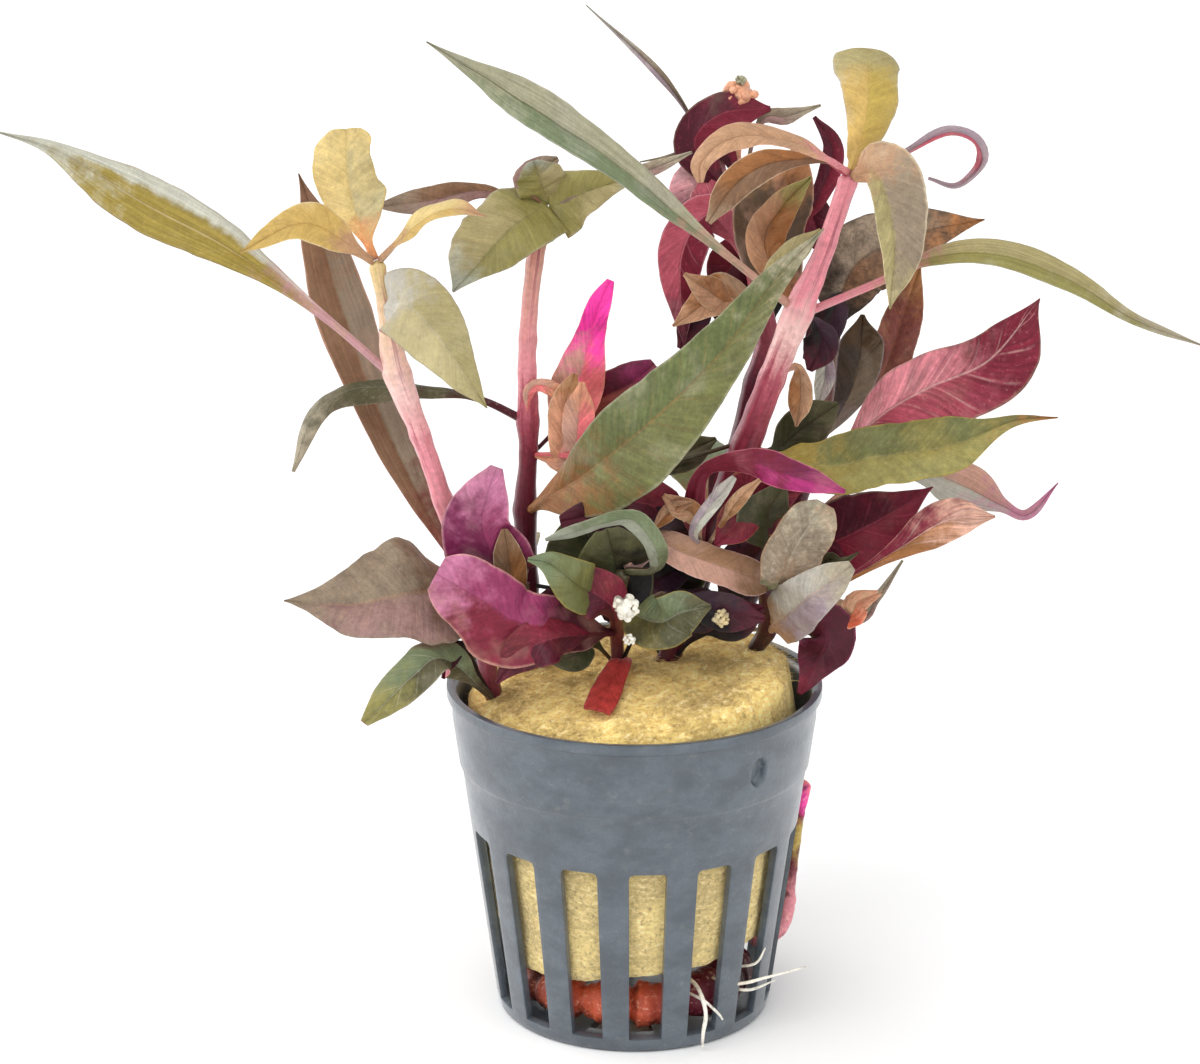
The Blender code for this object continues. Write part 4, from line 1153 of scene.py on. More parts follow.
# %% Low leaves
LEAVES |= {
    "leaf_low_broad": Leaf("stem_left", 1, ((-30.5, -9, 64.7), (-40, -12, 63.7), (-48, -14, 64.7)),
        (0, -0.7, 0.7),
        (5, 8.5, 8.3, 6, 3.2, 0.1), "low_broad", "under_rose", (3, 8, 8.2, 5.5, 3, 0.1), stalk=0.05,
        wave=0.7),
    "leaf_low_drooping": Leaf("stem_left", 0, ((-27, -12, 56), (-31, -16, 54.5), (-37, -19.7, 49.5)),
        (-0.2, -0.8, 0.5), (0.8, 2.2, 2.8, 2.8, 2.6, 1.2), "low_drooping", "under_rose", stalk=0.2),
    "leaf_low_magenta": Leaf("stem_front", 1, (
        (-12.5, -11, 59.9), (-17.1, -11.5, 60.8), (-20.4, -12, 63.3), (-24.3, -12, 65.8), (-27.7, -12, 67.8),
    ), (0, 0.9, -0.3), (0.6, 2, 3.8, 4.4, 4.9, 5, 4.6), "dark_green", "under_low_magenta",
        (0.6, 2.5, 3.5, 5.1, 6.7, 5.2, 4.4), stalk=0.05, veins=8, fold=10),
    "leaf_low_upright": Leaf("stem_middle", 1,
        ((-18.8, -7, 66.4), (-21.5, -9.5, 73.2), (-20.8, -9.5, 78.2), (-19.5, -9, 82)),
        (0, 1, 0), (0.6, 2.6, 4.6, 5.3, 4.2, 3.2, 1.6), "dark_green", "under_low_upright",
        (0.6, 3, 5.5, 6.2, 5.6, 4, 1.6),
        stalk=0.1, veins=8, fold=10),
    "leaf_front_hood": Leaf("stem_front", 3, (
        (1.9, -9, 67.5), (1.9, -11, 71.6), (-1.3, -12, 75.6), (-5.7, -12.5, 75.2), (-12.9, -12.5, 72.8),
    ), (0, 0.7, 0.7), (0.7, 1.4, 1.8, 2.1, 2.2, 1.7, 0.6), "dark_green", "under_hood", veins=8),
    "leaf_front_green": Leaf("stem_front", 2, ((-8.5, -13, 66.6), (-12.3, -14, 69.9), (-15.2, -14.5, 70.7)),
        (0, -0.9, 0.4), (0.8, 1.8, 2.9, 3.5, 3.1, 1.9, 0.3), "front_green", "under_dark", veins=7),
    "leaf_front_folded": Leaf("stem_front", 2, ((2.5, -11, 60.8), (5.9, -12.5, 62.6), (9.4, -13, 63.6)),
        (0.3, -0.9, 0.3),
        (1.5, 3.4, 4.2, 4, 3, 0.6), "front_folded", "under_dark", fold=24, veins=7),
    "leaf_on_wool": Leaf("stem_front", 0, ((-2.6, -4.5, 52.9), (-4, -7.5, 51), (-6, -12, 48.2)),
        (0, -0.6, 0.8),
        (1.2, 1.4, 1.7, 2, 2.2, 2.2), "on_wool", "on_wool", veins=6, wave=0.25, stalk=0.02, fold=4),
}
print("leaves so far:", len(LEAVES))

# %% [markdown]
# The next three leaves point away from the photograph's viewer, so they can't be seen in it. They are
# guessed from the other leaves, so that the plant isn't bare from behind.

# %% Leaves behind
LEAVES |= {
    "leaf_far_middle": Leaf("stem_rosette", 1, ((9.5, 14, 72), (8, 21, 77), (5, 27, 74)), (0, -0.3, 0.95),
        (0.6, 3, 5, 4.8, 3.4, 0.1), "far_green", "under_magenta"),
    "leaf_far_left": Leaf("stem_middle", 1, ((-17.5, 9, 66), (-21, 16, 65), (-24, 21, 60)), (0, 0.3, 0.95),
        (0.6, 2.6, 4.5, 4.3, 3, 0.1), "far_olive", "under_rose"),
    "leaf_far_right": Leaf("stem_back_right", 1, ((23, 14, 67), (27, 20, 66), (30, 25, 60)), (0.2, 0.5, 0.8),
        (0.6, 2.6, 4.3, 4, 2.8, 0.1), "far_green", "under_magenta"),
}


print("leaves:", len(LEAVES))

# %% [markdown]
# ### Small leaves
# Young leaves crowd round the shoot tips and fill the dark middle of the plant. They are only a few
# millimetres wide, so one finish serves both of their sides, and a shorter row is enough for each. Three
# bigger near-black sheets behind the arched hood leaf are painted shade of its hollow inside. The
# finish also says which of the solids' material slots they belong to.

# %% What a small leaf's row says
SMALL_FACE = (0, -0.95, 0.3)
SMALL_VEINS = 6
SMALL_SLOTS = {
    "edged_brown": "brown", "khaki": "olive", "wine": "crimson", "withered": "grey", "rose": "rose",
    "rosette_tan": "tan", "plum": "crimson", "lilac": "grey", "dark_green": "green", "maroon": "crimson",
    "purple_brown": "brown", "crimson": "crimson", "hood_shade_backing": "green", "orange": "tan",
    "peach": "tan", "coral": "tan", "middle_broad": "grey",
}


def small(stem, joint, path, widths, skin, wave=0.45):
    """A small leaf with one finish on both sides, whose blade starts at the first point of its path."""
    slot = f"leaf_{SMALL_SLOTS[skin]}"
    return Leaf(stem, joint, path, SMALL_FACE, widths, skin, skin, stalk=None, veins=SMALL_VEINS, slot=slot,
                wave=wave)


print("finishes of small leaves:", len(SMALL_SLOTS))

# %% Small leaves of the upper half
SMALL_LEAVES = [
    small("stem_right", 6, ((24, -5, 123.5), (17.1, -5, 123), (12.5, -4, 119.9), (9, -3, 114.6)),
          (0.5, 1.2, 2.1, 2.3, 1.8, 0.5), "edged_brown"),
    small("stem_right", 4, ((17, -4, 106.5), (19.5, -5, 110), (24, -5, 114)), (0.6, 1.6, 1.6, 0.2),
          "khaki"),
    small("stem_rosette", 6, ((22, 7, 113.5), (25.5, 7, 118), (26.6, 7, 123.5), (24, 8, 127.5)),
          (0.5, 1.1, 1.5, 1.6, 1.1, 0.3), "wine"),
    small("stem_rosette", 6, ((16.5, 9, 126.5), (20.5, 9, 127.5), (25, 9, 129)), (0.3, 1, 1.2, 0.6, 0.2),
          "withered"),
    small("stem_rosette", 6, ((10.5, 9, 120.5), (7.5, 8, 117.5), (6, 7, 113)), (1.2, 3, 3.3, 2.8, 1.5),
          "rose"),
    small("stem_rosette", 6, ((12.5, 9, 121.5), (10, 9, 123.5), (8, 9, 121)), (1, 2.4, 2.6, 1.8), "wine"),
    small("stem_rosette", 4, ((10, 3, 103.5), (8, 2, 105), (6, 2, 106.5)), (1, 2, 2.2, 1.4, 0.3),
          "rosette_tan"),
    small("stem_middle", 7, ((7.5, 8, 123), (3.5, 7, 122), (0, 6, 121.5)), (0.35, 0.35, 0.3, 0.1),
          "withered"),
    small("stem_right", 4, ((24.5, 2, 99), (25, 3, 96), (23.5, 3, 92.5)), (1, 2.4, 2.2, 0.8), "plum"),
    small("stem_right", 3, ((21.5, -1, 94), (22, -1, 90), (21.5, -1, 85.5)), (0.6, 1.6, 1.6, 0.2),
          "rosette_tan"),
    small("stem_back_right", 4, ((26, 6, 94.5), (26, 6, 91), (25, 6, 86.5)), (0.5, 1.3, 1.3, 0.3), "lilac"),
    small("stem_right", 2, ((18.5, 2, 81), (22, 2, 84), (27.5, 2, 88)), (0.8, 2.5, 3.2, 2.6, 0.8),
          "dark_green"),
    small("stem_middle", 3, ((-11, 3, 84.5), (-5.5, 3, 88.5), (-1.5, 3, 90.5), (2, 3, 93.5)),
          (0.5, 2, 3, 3, 1.5), "maroon"),
    small("stem_middle", 7, ((-16.5, 3, 119.2), (-14.5, 4, 120.4), (-11.3, 4, 122.3)), (1, 1.8, 1.6, 0.6),
          "purple_brown"),
    small("stem_middle", 7, ((-21.9, 6, 117.4), (-28.8, 3, 116.6), (-35.3, 2, 116)), (1, 1.9, 1.9, 0.9),
          "purple_brown"),
]
print("small leaves so far:", len(SMALL_LEAVES))

# %% Small leaves low in the plant
SMALL_LEAVES += [
    small("stem_right", 1, ((5.5, -4, 72), (2, -6, 75.5), (-2.5, -8, 77)), (1, 3, 3.5, 0.5), "wine"),
    small("stem_right", 1, ((12, -3, 72), (16.5, -5, 76), (22, -5, 77.5)), (1, 4, 5, 3, 0.3), "crimson"),
    small("stem_front_right", 2, ((18, -5, 69), (17.5, -6, 74.5), (20, -6, 79.5)), (1, 4, 4.2, 2, 0.2),
          "dark_green"),
    small("stem_front", 2, ((5.5, -7, 62), (11.5, -8, 61), (17, -8, 60)), (1, 2.5, 2.5, 0.5), "plum"),
    small("stem_front", 1, ((-4, -10, 62.5), (-7.5, -11, 65.5), (-11.5, -11, 67.5)), (1.5, 3.5, 3, 0.3),
          "wine"),
    # A near-black sheet under the hood leaf: painted shade.
    small("stem_middle", 1, ((-2.8, -6, 62.4), (-3.4, -8.5, 67.8), (-4.6, -10.5, 73.6)), (2, 4.6, 5.2, 3),
          "hood_shade_backing"),
    small("stem_middle", 0, ((-13.5, -1, 60.5), (-10, -1, 57), (-5, -1, 55.5)), (1, 3, 3, 0.5), "wine"),
    small("stem_right", 0, ((0.5, -1, 57), (-3, -2, 60.5), (-7, -3, 62.5)), (1, 3, 3, 0.5), "plum"),
    small("stem_rosette", 0, ((12, 6, 58), (15, 5, 63.5), (18.5, 4, 67.5)), (1, 3.5, 3.5, 0.5), "plum"),
    small("stem_right", 0, ((8.5, -4, 57), (13, -5, 59), (17, -6, 61)), (1, 2.8, 2.8, 0.5), "plum"),
    small("stem_right", 1, ((7, -2, 66.5), (3.5, -4, 65), (0, -6, 63.5)), (1, 2.5, 2.5, 0.5), "plum"),
    small("stem_back_right", 1, ((22.5, 2, 71), (25, 1, 68.5), (28.5, 0, 66)), (0.8, 2.4, 2.6, 0.5),
          "wine"),
    small("stem_right", 2, ((1.5, 2, 78.5), (7, 1, 81.5), (10.5, 0, 83.5)), (0.6, 2, 2.4, 0.6),
          "dark_green"),
    small("stem_right", 1, ((11, 2, 78.5), (14.5, 0, 74.5), (15.5, -2, 69.5)), (1, 3, 3.4, 2.6, 0.5),
          "wine"),
    small("stem_right", 1, ((7.2, -9, 72.9), (10, -10, 77.6), (12.5, -10.5, 81)), (0.7, 1, 1, 0.7),
          "lilac"),
    small("stem_front", 3, ((3.5, -8, 75), (7, -9, 77)), (0.4, 1.1, 0.9, 0.2), "rosette_tan"),
    small("stem_right", 1, ((13, -10, 77.5), (16, -10, 80.5)), (0.4, 1, 1, 0.3), "rosette_tan"),
    small("stem_back_right", 1, ((28.5, -1, 58.5), (30.5, -2, 60.5), (34, -2, 62)), (0.6, 1.8, 1.8, 0.3),
          "orange"),
    small("stem_back_right", 0, ((29.5, -1, 57), (33, -2, 61), (36.5, -2, 66.5)), (0.3, 0.6, 0.6, 0.2),
          "withered"),
    small("stem_front_right", 1, ((25, -5, 67), (27.5, -6, 67.5), (30, -6, 69)), (0.4, 1.2, 0.8, 0.1),
          "dark_green"),
    small("stem_left", 0, ((-24.5, -8, 55.5), (-26, -10, 54.5), (-27, -11, 52.5)), (0.6, 1.2, 1, 0.3),
          "plum"),
]
print("small leaves so far:", len(SMALL_LEAVES))

# %% Small leaves in the gaps
SMALL_LEAVES += [
    small("stem_middle", 1, ((-17.2, -7.5, 63.6), (-17.9, -9, 68.5), (-18.5, -10, 73.5)),
          (1.4, 2.2, 2, 0.8), "edged_brown"),
    small("stem_middle", 3, ((-11.3, -1, 80.5), (-10.7, -1.5, 85), (-10.2, -1.5, 89.5), (-9, -1, 93)),
          (1.4, 2, 2.2, 0.8), "peach", wave=0.9),
    small("stem_middle", 3, ((-9.5, -2, 82.5), (-8.6, -2, 86.5), (-8, -1.5, 92)), (1.2, 2.2, 2, 0.4),
          "coral", wave=0.9),
    small("stem_middle", 4, ((-15.4, -0.5, 90.2), (-13.7, -0.5, 91.3), (-10.6, -0.5, 90)),
          (0.8, 0.9, 1.1, 0.9), "coral"),
    small("stem_rosette", 5, ((16.2, 11, 110.3), (13.5, 11, 106.7), (10.6, 10, 102.6)), (1, 3, 3.4, 1.5),
          "wine"),
    small("stem_rosette", 4, ((19.2, 11, 100.9), (14.9, 11, 100.9), (10.7, 10, 98.2)), (1, 2.6, 2.8, 1),
          "plum"),
    small("stem_rosette", 4, ((9.4, 7, 102), (7, 6, 97.9), (5.6, 5, 95.2)), (1, 2.4, 2, 0.5), "plum"),
    small("stem_rosette", 6, ((16.8, 11, 120.3), (14.8, 11, 116.7), (13.3, 11, 113)), (1, 3, 3.2, 1.2),
          "crimson"),
    small("stem_back_right", 4, ((27.9, 6, 102), (25.8, 5, 97.9), (23, 4, 93.8)), (1, 2.2, 2.2, 0.8),
          "plum"),
    small("stem_rosette", 5, ((22.3, 9, 115.6), (24.4, 8, 112.3), (25.8, 7, 108.2)), (1, 2.6, 2.6, 0.8),
          "wine"),
    small("stem_right", 1, ((15.9, -4, 76), (12.9, -6, 72.9), (10.2, -7, 70.3)), (1, 2.6, 2.6, 0.6),
          "crimson"),
    small("stem_right", 1, ((7.2, -8, 74.8), (5, -8, 76.2), (3, -8, 77.7)), (0.8, 1.6, 1.5, 0.6),
          "rosette_tan"),
    small("stem_right", 1, ((5.2, -5, 73.5), (-0.1, -6, 74.9), (-5.6, -7, 74.7), (-11, -8, 74)),
          (2, 2.6, 2.6, 1.4), "plum"),
    small("stem_middle", 0, ((-11.1, -5, 54.4), (-13.1, -7, 56.6), (-17.2, -8, 55.8)), (1, 2.6, 2.6, 0.6),
          "wine"),
    small("stem_front", 0, ((0, -3, 57), (3.4, -4, 57.6), (8.2, -5, 58.7)), (1, 2, 2, 0.6), "plum"),
    small("stem_front", 0, ((-7, -3, 55.2), (-9, -6, 54.1), (-12.4, -8, 53.8)), (1, 2.2, 2.2, 0.6),
          "dark_green"),
    small("stem_front", 1, ((2.7, -4, 61.5), (6.8, -5, 60.4), (12.9, -6, 60.3)), (1, 2.8, 3, 0.8), "plum"),
    # A near-black sheet behind the hood leaf: painted shade.
    small("stem_front", 1, ((-4, -3, 60.5), (-6, -3.5, 66.5), (-8.5, -4, 74)), (4, 6.5, 6.5, 3.5),
          "hood_shade_backing"),
    small("stem_front", 1, ((-12, -12, 58.6), (-16.5, -12.6, 56.4), (-19.6, -13, 52.6)), (2, 3.4, 2.6, 0.3),
          "wine", wave=0.8),
    # A near-black sheet behind the hood leaf: painted shade.
    small("stem_front", 1, ((0.5, -2, 60), (3, -3, 66), (5.5, -3, 73)), (4, 6, 6, 3), "hood_shade_backing"),
    small("stem_middle", 7, ((-13, 4, 116.6), (-13.8, 3, 119.6), (-14.6, 2, 122.2)), (3, 3.6, 3.2, 1.4),
          "middle_broad"),
    small("stem_middle", 7, ((-5.6, 3, 118.6), (1.9, 2, 121.3), (6.9, 1, 123.6)), (0.8, 1.1, 0.9, 0.2),
          "withered"),
]
print("small leaves:", len(SMALL_LEAVES))

# %% [markdown]
# ## The leaves: finishes
# One leaf runs through several colours: a pinkish base, two halves that catch the light differently, a
# tip and a thin edge. On the long leaf at the left the silver half is painted light, and the thin edge of
# every leaf is partly the margin's own tint and partly a painted rim highlight. So a finish names those
# colours, and one node tree mixes them over the leaf's own UV map. Noise blurs the borders, streaks follow
# the side veins, and the veins are drawn with the same slant that the shape uses, so that paint and relief
# agree.

# %% What a finish's row says
class Skin(NamedTuple):
    """Colours of one side of a leaf by name, and how strongly veins, streaks and mottling show.

    The base colour ends at base_to and the tip's starts at tip_at, as shares of the length. split moves the
    border between the two halves' colours, and parallel draws the streaks along the leaf.
    """

    base: str
    minus: str
    plus: str
    tip: str
    edge: str
    vein: str
    veined: float = 0.35
    streaked: float = 0.5
    mottled: float = 0.5
    tip_at: float = 0.66
    base_to: float = 0.38
    split: float = 0.0
    parallel: bool = False


print("values that a finish's row can give:", len(Skin._fields))

# %% Finishes of the upper sides
SKINS = {
    # The silver of this leaf's one half is painted light: a sheen where that half faces up into the bright
    # sky.
    "left_long": Skin("silver_rose", "olive_gold", "silver", "silver", "taupe", "cream", 0.3, 1.3,
                      split=0.55, parallel=True),
    "left_tall": Skin("red_brown", "brown", "taupe", "brown", "pink_tan", "rust", 0.3, 0.9, parallel=True),
    "left_upright": Skin("apricot", "straw", "pale_khaki", "straw", "honey", "honey", 0.25, 0.6, 0.9),
    "left_young": Skin("tan", "honey", "honey", "honey", "cream", "rust", 0.3, 0.5, 0.6),
    "left_inner": Skin("tan", "straw", "honey", "tan", "cream", "rust", 0.3, 0.5, 0.6),
    "left_hanging": Skin("pale_grey", "khaki", "pale_khaki", "khaki", "stone", "silver", 0.2, 0.5),
    "middle_drooping": Skin("wine", "dusk_green", "dusk_green", "stone", "taupe", "silver", 0.2, 0.6, 0.8),
    "middle_broad": Skin("olive", "olive", "khaki", "grey_sage", "stone", "moss", 0.3, 0.7),
    "middle_right": Skin("olive", "olive", "khaki", "olive_grey", "stone", "moss", 0.3, 0.7),
    "large_front": Skin("rust", "leaf_green", "moss", "stone", "olive_grey", "rust", 0.3, 1.0, 1.0,
                        tip_at=0.76),
    "shoot_pink": Skin("peach", "pink_tan", "coral", "hot_pink", "peach", "hot_pink", 0.2, 1.2, 0.6,
                       tip_at=0.5),
    "right_high": Skin("pink_tan", "sage", "olive_grey", "olive_grey", "pale_grey", "moss", 0.6, 1.2, 0.6,
                       parallel=True),
    "right_far": Skin("pink", "khaki", "olive", "stone", "silver", "moss", 0.3, 1.2, parallel=True),
    "right_upright": Skin("honey", "honey", "gold", "khaki", "pale_grey", "olive_gold", 0.2, 0.6, 0.6),
    "right_hanging": Skin("tan", "taupe", "khaki", "khaki", "cream", "olive", 0.3, 0.8, 0.8),
    "right_arching": Skin("pink", "tan", "tan", "tan", "pink_tan", "brown", 0.3, 0.8, 0.8),
    "right_dark": Skin("rust", "bark", "bark", "rust", "pink_tan", "deep_green", 0.3, 0.6, 0.8),
    "shoot_right": Skin("rust", "tan", "rust", "olive", "tan", "bark", 0.4, 0.8, 0.8),
    "tendril": Skin("lilac", "lilac", "rose", "lilac", "stone", "magenta", 0.5, 0.8),
    "thin_lilac": Skin("taupe", "lilac", "taupe", "pale_grey", "stone", "charcoal", 0.5, 0.9),
    "rosette_tan": Skin("pink_tan", "tan", "rust", "tan", "cream", "brown", 0.5, 0.8, 1.0),
    "back_mottled": Skin("charcoal", "taupe", "brown", "rust", "charcoal", "night", 0.3, 0.5, 2.4),
    "back_red": Skin("red_brown", "red_brown", "red_brown", "rust", "tan", "rust", 0.3, 0.5, 1.2),
    "back_grey": Skin("charcoal", "charcoal", "taupe", "bark", "lilac", "night", 0.3, 0.6, 1.0),
    "side_curled": Skin("peach", "pink_tan", "silver", "light_magenta", "stone", "rust", 0.3, 0.9,
                        parallel=True),
    "side_green": Skin("olive_gold", "moss", "olive", "rust", "olive_gold", "khaki", 0.25, 0.7, 0.9,
                       tip_at=0.75),
    "side_striped": Skin("red_brown", "crimson", "rust", "pink_tan", "pink_tan", "pale_pink", 0.6, 2.2),
    "front_olive": Skin("sage", "taupe", "taupe", "stone", "tan", "silver", 0.3, 0.6, 1.4),
    "front_pale": Skin("tan", "pale_grey", "lilac", "stone", "pale_grey", "pink_tan", 0.3, 0.7, 0.8),
    "low_broad": Skin("brown", "rose_grey", "taupe", "taupe", "taupe", "tan", 0.3, 0.6, 0.9),
    "low_drooping": Skin("charcoal", "dusk_green", "sage", "olive", "stone", "silver", 0.4, 0.7),
    "front_green": Skin("bark", "moss", "moss", "sage", "olive_gold", "bark", 0.35, 0.5),
    "front_folded": Skin("olive", "sage", "dusk_green", "dusk_green", "olive_gold", "pale_grey", 0.3, 0.6,
                         0.8),
    "on_wool": Skin("red", "red", "red", "red", "red_brown", "crimson", 0.05, 1.0, 1.4),
    "far_green": Skin("rust", "moss", "sage", "olive", "stone", "rust", 0.3, 0.6, 0.7),
    "far_olive": Skin("tan", "olive", "khaki", "silver", "stone", "rust", 0.3, 0.6, 0.7),
    "dark_green": Skin("bark", "deep_green", "deep_green", "dusk_green", "taupe", "bark", 0.4, 0.6, 0.8),
}
print("finishes of upper sides:", len(SKINS))

# %% Finishes of the undersides
SKINS |= {
    "under_rose": Skin("rose", "rose", "silver_rose", "rose", "pink_tan", "pale_pink", 0.4, 0.8, 0.5),
    "under_magenta": Skin("crimson", "magenta", "light_magenta", "magenta", "pink_tan", "wine", 0.4, 0.8,
                          0.5),
    "under_crimson": Skin("wine", "crimson", "wine", "crimson", "taupe", "rose", 0.3, 0.6, 0.7),
    "under_tan": Skin("tan", "tan", "pink_tan", "tan", "stone", "rust", 0.4, 0.7, 0.5),
    "under_dark": Skin("wine", "bark", "charcoal", "red_brown", "taupe", "night", 0.3, 0.6, 0.7),
    "under_rosette": Skin("rose", "rose", "crimson", "wine", "silver_rose", "pink", 0.4, 1.0, 0.7),
    "under_side_rose": Skin("rose", "rose", "pink", "crimson", "taupe", "pale_pink", 0.5, 1.9, 0.7,
                            tip_at=0.52),
    "under_hot_magenta": Skin("crimson", "hot_magenta", "deep_magenta", "hot_magenta", "pink", "crimson",
                              0.2, 0.9, 0.7, base_to=0.86, tip_at=0.8),
    "under_side_low": Skin("crimson", "wine", "wine", "crimson", "magenta", "crimson", 0.3, 0.7, 0.8),
    "under_front_tan": Skin("rose_grey", "pink_tan", "tan", "brown", "pale_pink", "brown", 0.3, 0.6, 0.6),
    "under_low_magenta": Skin("wine", "magenta", "crimson", "light_magenta", "pink_tan", "crimson", 0.3,
                              0.8, 0.8, tip_at=0.74, base_to=0.6),
    "under_low_upright": Skin("wine", "magenta", "deep_magenta", "light_magenta", "silver_rose", "wine",
                              0.3, 0.8, 0.8, tip_at=0.66, base_to=0.5),
    "under_hood": Skin("dusk_green", "sage", "grey_sage", "grey_sage", "olive_grey", "moss", 0.3, 0.5, 0.6),
}
print("finishes so far:", len(SKINS))

# %% Finishes of the small leaves
SKINS |= {
    "edged_brown": Skin("brown", "brown", "rust", "brown", "cream", "bark", 0.3, 0.9, 0.8),
    "khaki": Skin("taupe", "khaki", "moss", "khaki", "stone", "bark", 0.3, 0.8, 0.8),
    "withered": Skin("taupe", "taupe", "rose_grey", "stone", "stone", "charcoal", 0.4, 1.0, 1.0),
    "wine": Skin("wine", "wine", "crimson", "wine", "red_brown", "rose", 0.25, 0.8, 1.0),
    "crimson": Skin("crimson", "crimson", "wine", "crimson", "rust", "rose", 0.25, 0.8, 1.0),
    "rose": Skin("rose", "rose", "silver_rose", "crimson", "pink", "pale_pink", 0.4, 1.4, 1.0),
    "plum": Skin("night", "plum", "night", "wine", "charcoal", "wine", 0.3, 0.8, 1.0),
    "maroon": Skin("wine", "wine", "red_brown", "deep_magenta", "brown", "crimson", 0.3, 0.8, 1.0),
    "orange": Skin("rust", "tan", "orange_red", "peach", "cream", "red_brown", 0.3, 1.0, 0.8),
    "lilac": Skin("lilac", "lilac", "silver", "pale_grey", "silver", "rose_grey", 0.3, 1.2, 0.8),
    "purple_brown": Skin("brown", "rose_grey", "brown", "taupe", "taupe", "brown", 0.3, 0.8, 1.0),
    "peach": Skin("peach", "peach", "pink_tan", "rust", "cream", "rust", 0.3, 1.2, 0.8),
    "coral": Skin("coral", "pink_tan", "coral", "peach", "peach", "crimson", 0.2, 1.2, 0.8),
    # Near-black sheets behind the arched hood leaf: painted shade of its hollow inside.
    "hood_shade_backing": Skin("night", "deep_green", "night", "dusk_green", "moss", "night", 0.3, 0.6, 0.8),
}
print("finishes:", len(SKINS))

# %% [markdown]
# ### From a row to a material
# Image textures would need photographs of each leaf, so the tree is built from noise and from the UV map
# alone. The map's x runs from -1 at one edge over 0 at the midrib to 1 at the other edge, and its y from
# the stem to the tip, so every border between two colours is a smooth step of one of the two.

# %% The node tree of a leaf's side
LEAF_ROUGHNESS = 0.42
LEAF_GLOSS = 0.25
VEIN_SLANT = 1.1
FAINT_VEINS = 0.3
HALVES_BLUR = 0.14
BASE_BLUR = 0.28
TIP_BLUR = 0.3
PATCH_SCALE = 160
BLOTCH_SCALE = 430
SPECK_SCALE = 1600
LEAF_GRAIN_SCALE = 4300


def leaf_streaks(f, skin, across, out, along, slanted):
    """Noise drawn out along the side veins, or along a leaf with parallel streaks."""
    lines = ((slanted, 5.0), (out, 0.8), (across, 0.5))
    if skin.parallel:
        lines = ((along, 3.0), (across, 11.0), (out, 2.0))
    scaled = {axis: f.math("MULTIPLY", value, scale) for axis, (value, scale) in enumerate(lines)}
    return f.noise(f.add("ShaderNodeCombineXYZ", scaled).outputs[0], 1.0, detail=4, rough=0.65)


def leaf_veins(f, skin, out, slanted, blotch):
    """The midrib and the side veins, which fade towards the edge."""
    ridge = f.math("ABSOLUTE", f.math("SINE", f.math("MULTIPLY", slanted, math.pi)))
    side_vein = f.times(f.ease(ridge, 0.0, 0.22, 0.6, 0.0), f.ease(out, 0.7, 1.0, 1.0, 0.0),
                        f.ease(blotch, 0.3, 0.6), FAINT_VEINS if skin.parallel else 1.0)
    midrib = f.ease(out, 0.015, 0.07, 1.0, 0.0)
    return f.math("MULTIPLY", f.math("MAXIMUM", midrib, side_vein), skin.veined)


def leaf_skin(name, skin, veins):
    """One side of a leaf, from its base over two halves to its tip, edge and veins."""
    f = Finish(name, rough=LEAF_ROUGHNESS, gloss=LEAF_GLOSS)
    across, along, _ = f.uv("blade")
    out = f.math("ABSOLUTE", across)
    patch = f.noise(f.spots, PATCH_SCALE, detail=3)
    blotch = f.noise(f.spots, BLOTCH_SCALE, detail=4, rough=0.62)
    speck = f.noise(f.spots, SPECK_SCALE, detail=3, rough=0.65)
    grain = f.noise(f.spots, LEAF_GRAIN_SCALE, detail=2)
    slanted = f.math("MULTIPLY_ADD", along, veins, f.math("MULTIPLY", out, -VEIN_SLANT))
    streak = leaf_streaks(f, skin, across, out, along, slanted)
    drift = f.math("MULTIPLY_ADD", blotch, 0.5, -0.25)
    across_drift, along_drift = f.math("ADD", across, drift), f.math("ADD", along, drift)
    second_half = f.ease(across_drift, skin.split - HALVES_BLUR, skin.split + HALVES_BLUR)
    colour = f.mix(second_half, paint(skin.minus), paint(skin.plus))
    near_base = f.ease(along_drift, skin.base_to - BASE_BLUR, skin.base_to, 1.0, 0.0)
    colour = f.mix(near_base, colour, paint(skin.base))
    colour = f.mix(f.ease(along_drift, skin.tip_at, skin.tip_at + TIP_BLUR), colour, paint(skin.tip))
    colour = f.mix(f.ease(patch, 0.5, 0.7, 0.0, 0.32 * skin.mottled), colour, paint(skin.edge))
    colour = f.mix(f.ease(speck, 0.56, 0.74, 0.0, 0.18 * skin.mottled), colour, paint(skin.vein))
    vein = leaf_veins(f, skin, out, slanted, blotch)
    colour = f.mix(vein, colour, paint(skin.vein))
    # The thin band at the edge is partly the margin's own tint and partly a painted rim highlight.
    edge_tint_and_highlight = f.ease(f.math("MULTIPLY_ADD", drift, 0.12, out), 0.93, 0.99, 0.0, 0.5)
    colour = f.mix(edge_tint_and_highlight, colour, paint(skin.edge))
    shade = f.times(f.about_one(streak, 1.1 * skin.streaked), f.about_one(blotch, 0.9 * skin.mottled),
                    f.about_one(speck, 0.8 * skin.mottled), f.about_one(grain, 0.35))
    height = f.math("ADD", f.math("MULTIPLY", speck, 0.5), streak)
    return f.finish(f.brighten(colour, shade), height=f.math("SUBTRACT", height, vein), depth=0.22)


def skin_for(name, veins):
    """The material of a finish, made once for each count of side veins."""
    key = f"{name}_{round(veins)}"
    return bpy.data.materials.get(key) or leaf_skin(key, SKINS[name], veins)


print("colours that the leaves use:", len({colour for skin in SKINS.values() for colour in skin[:6]}))

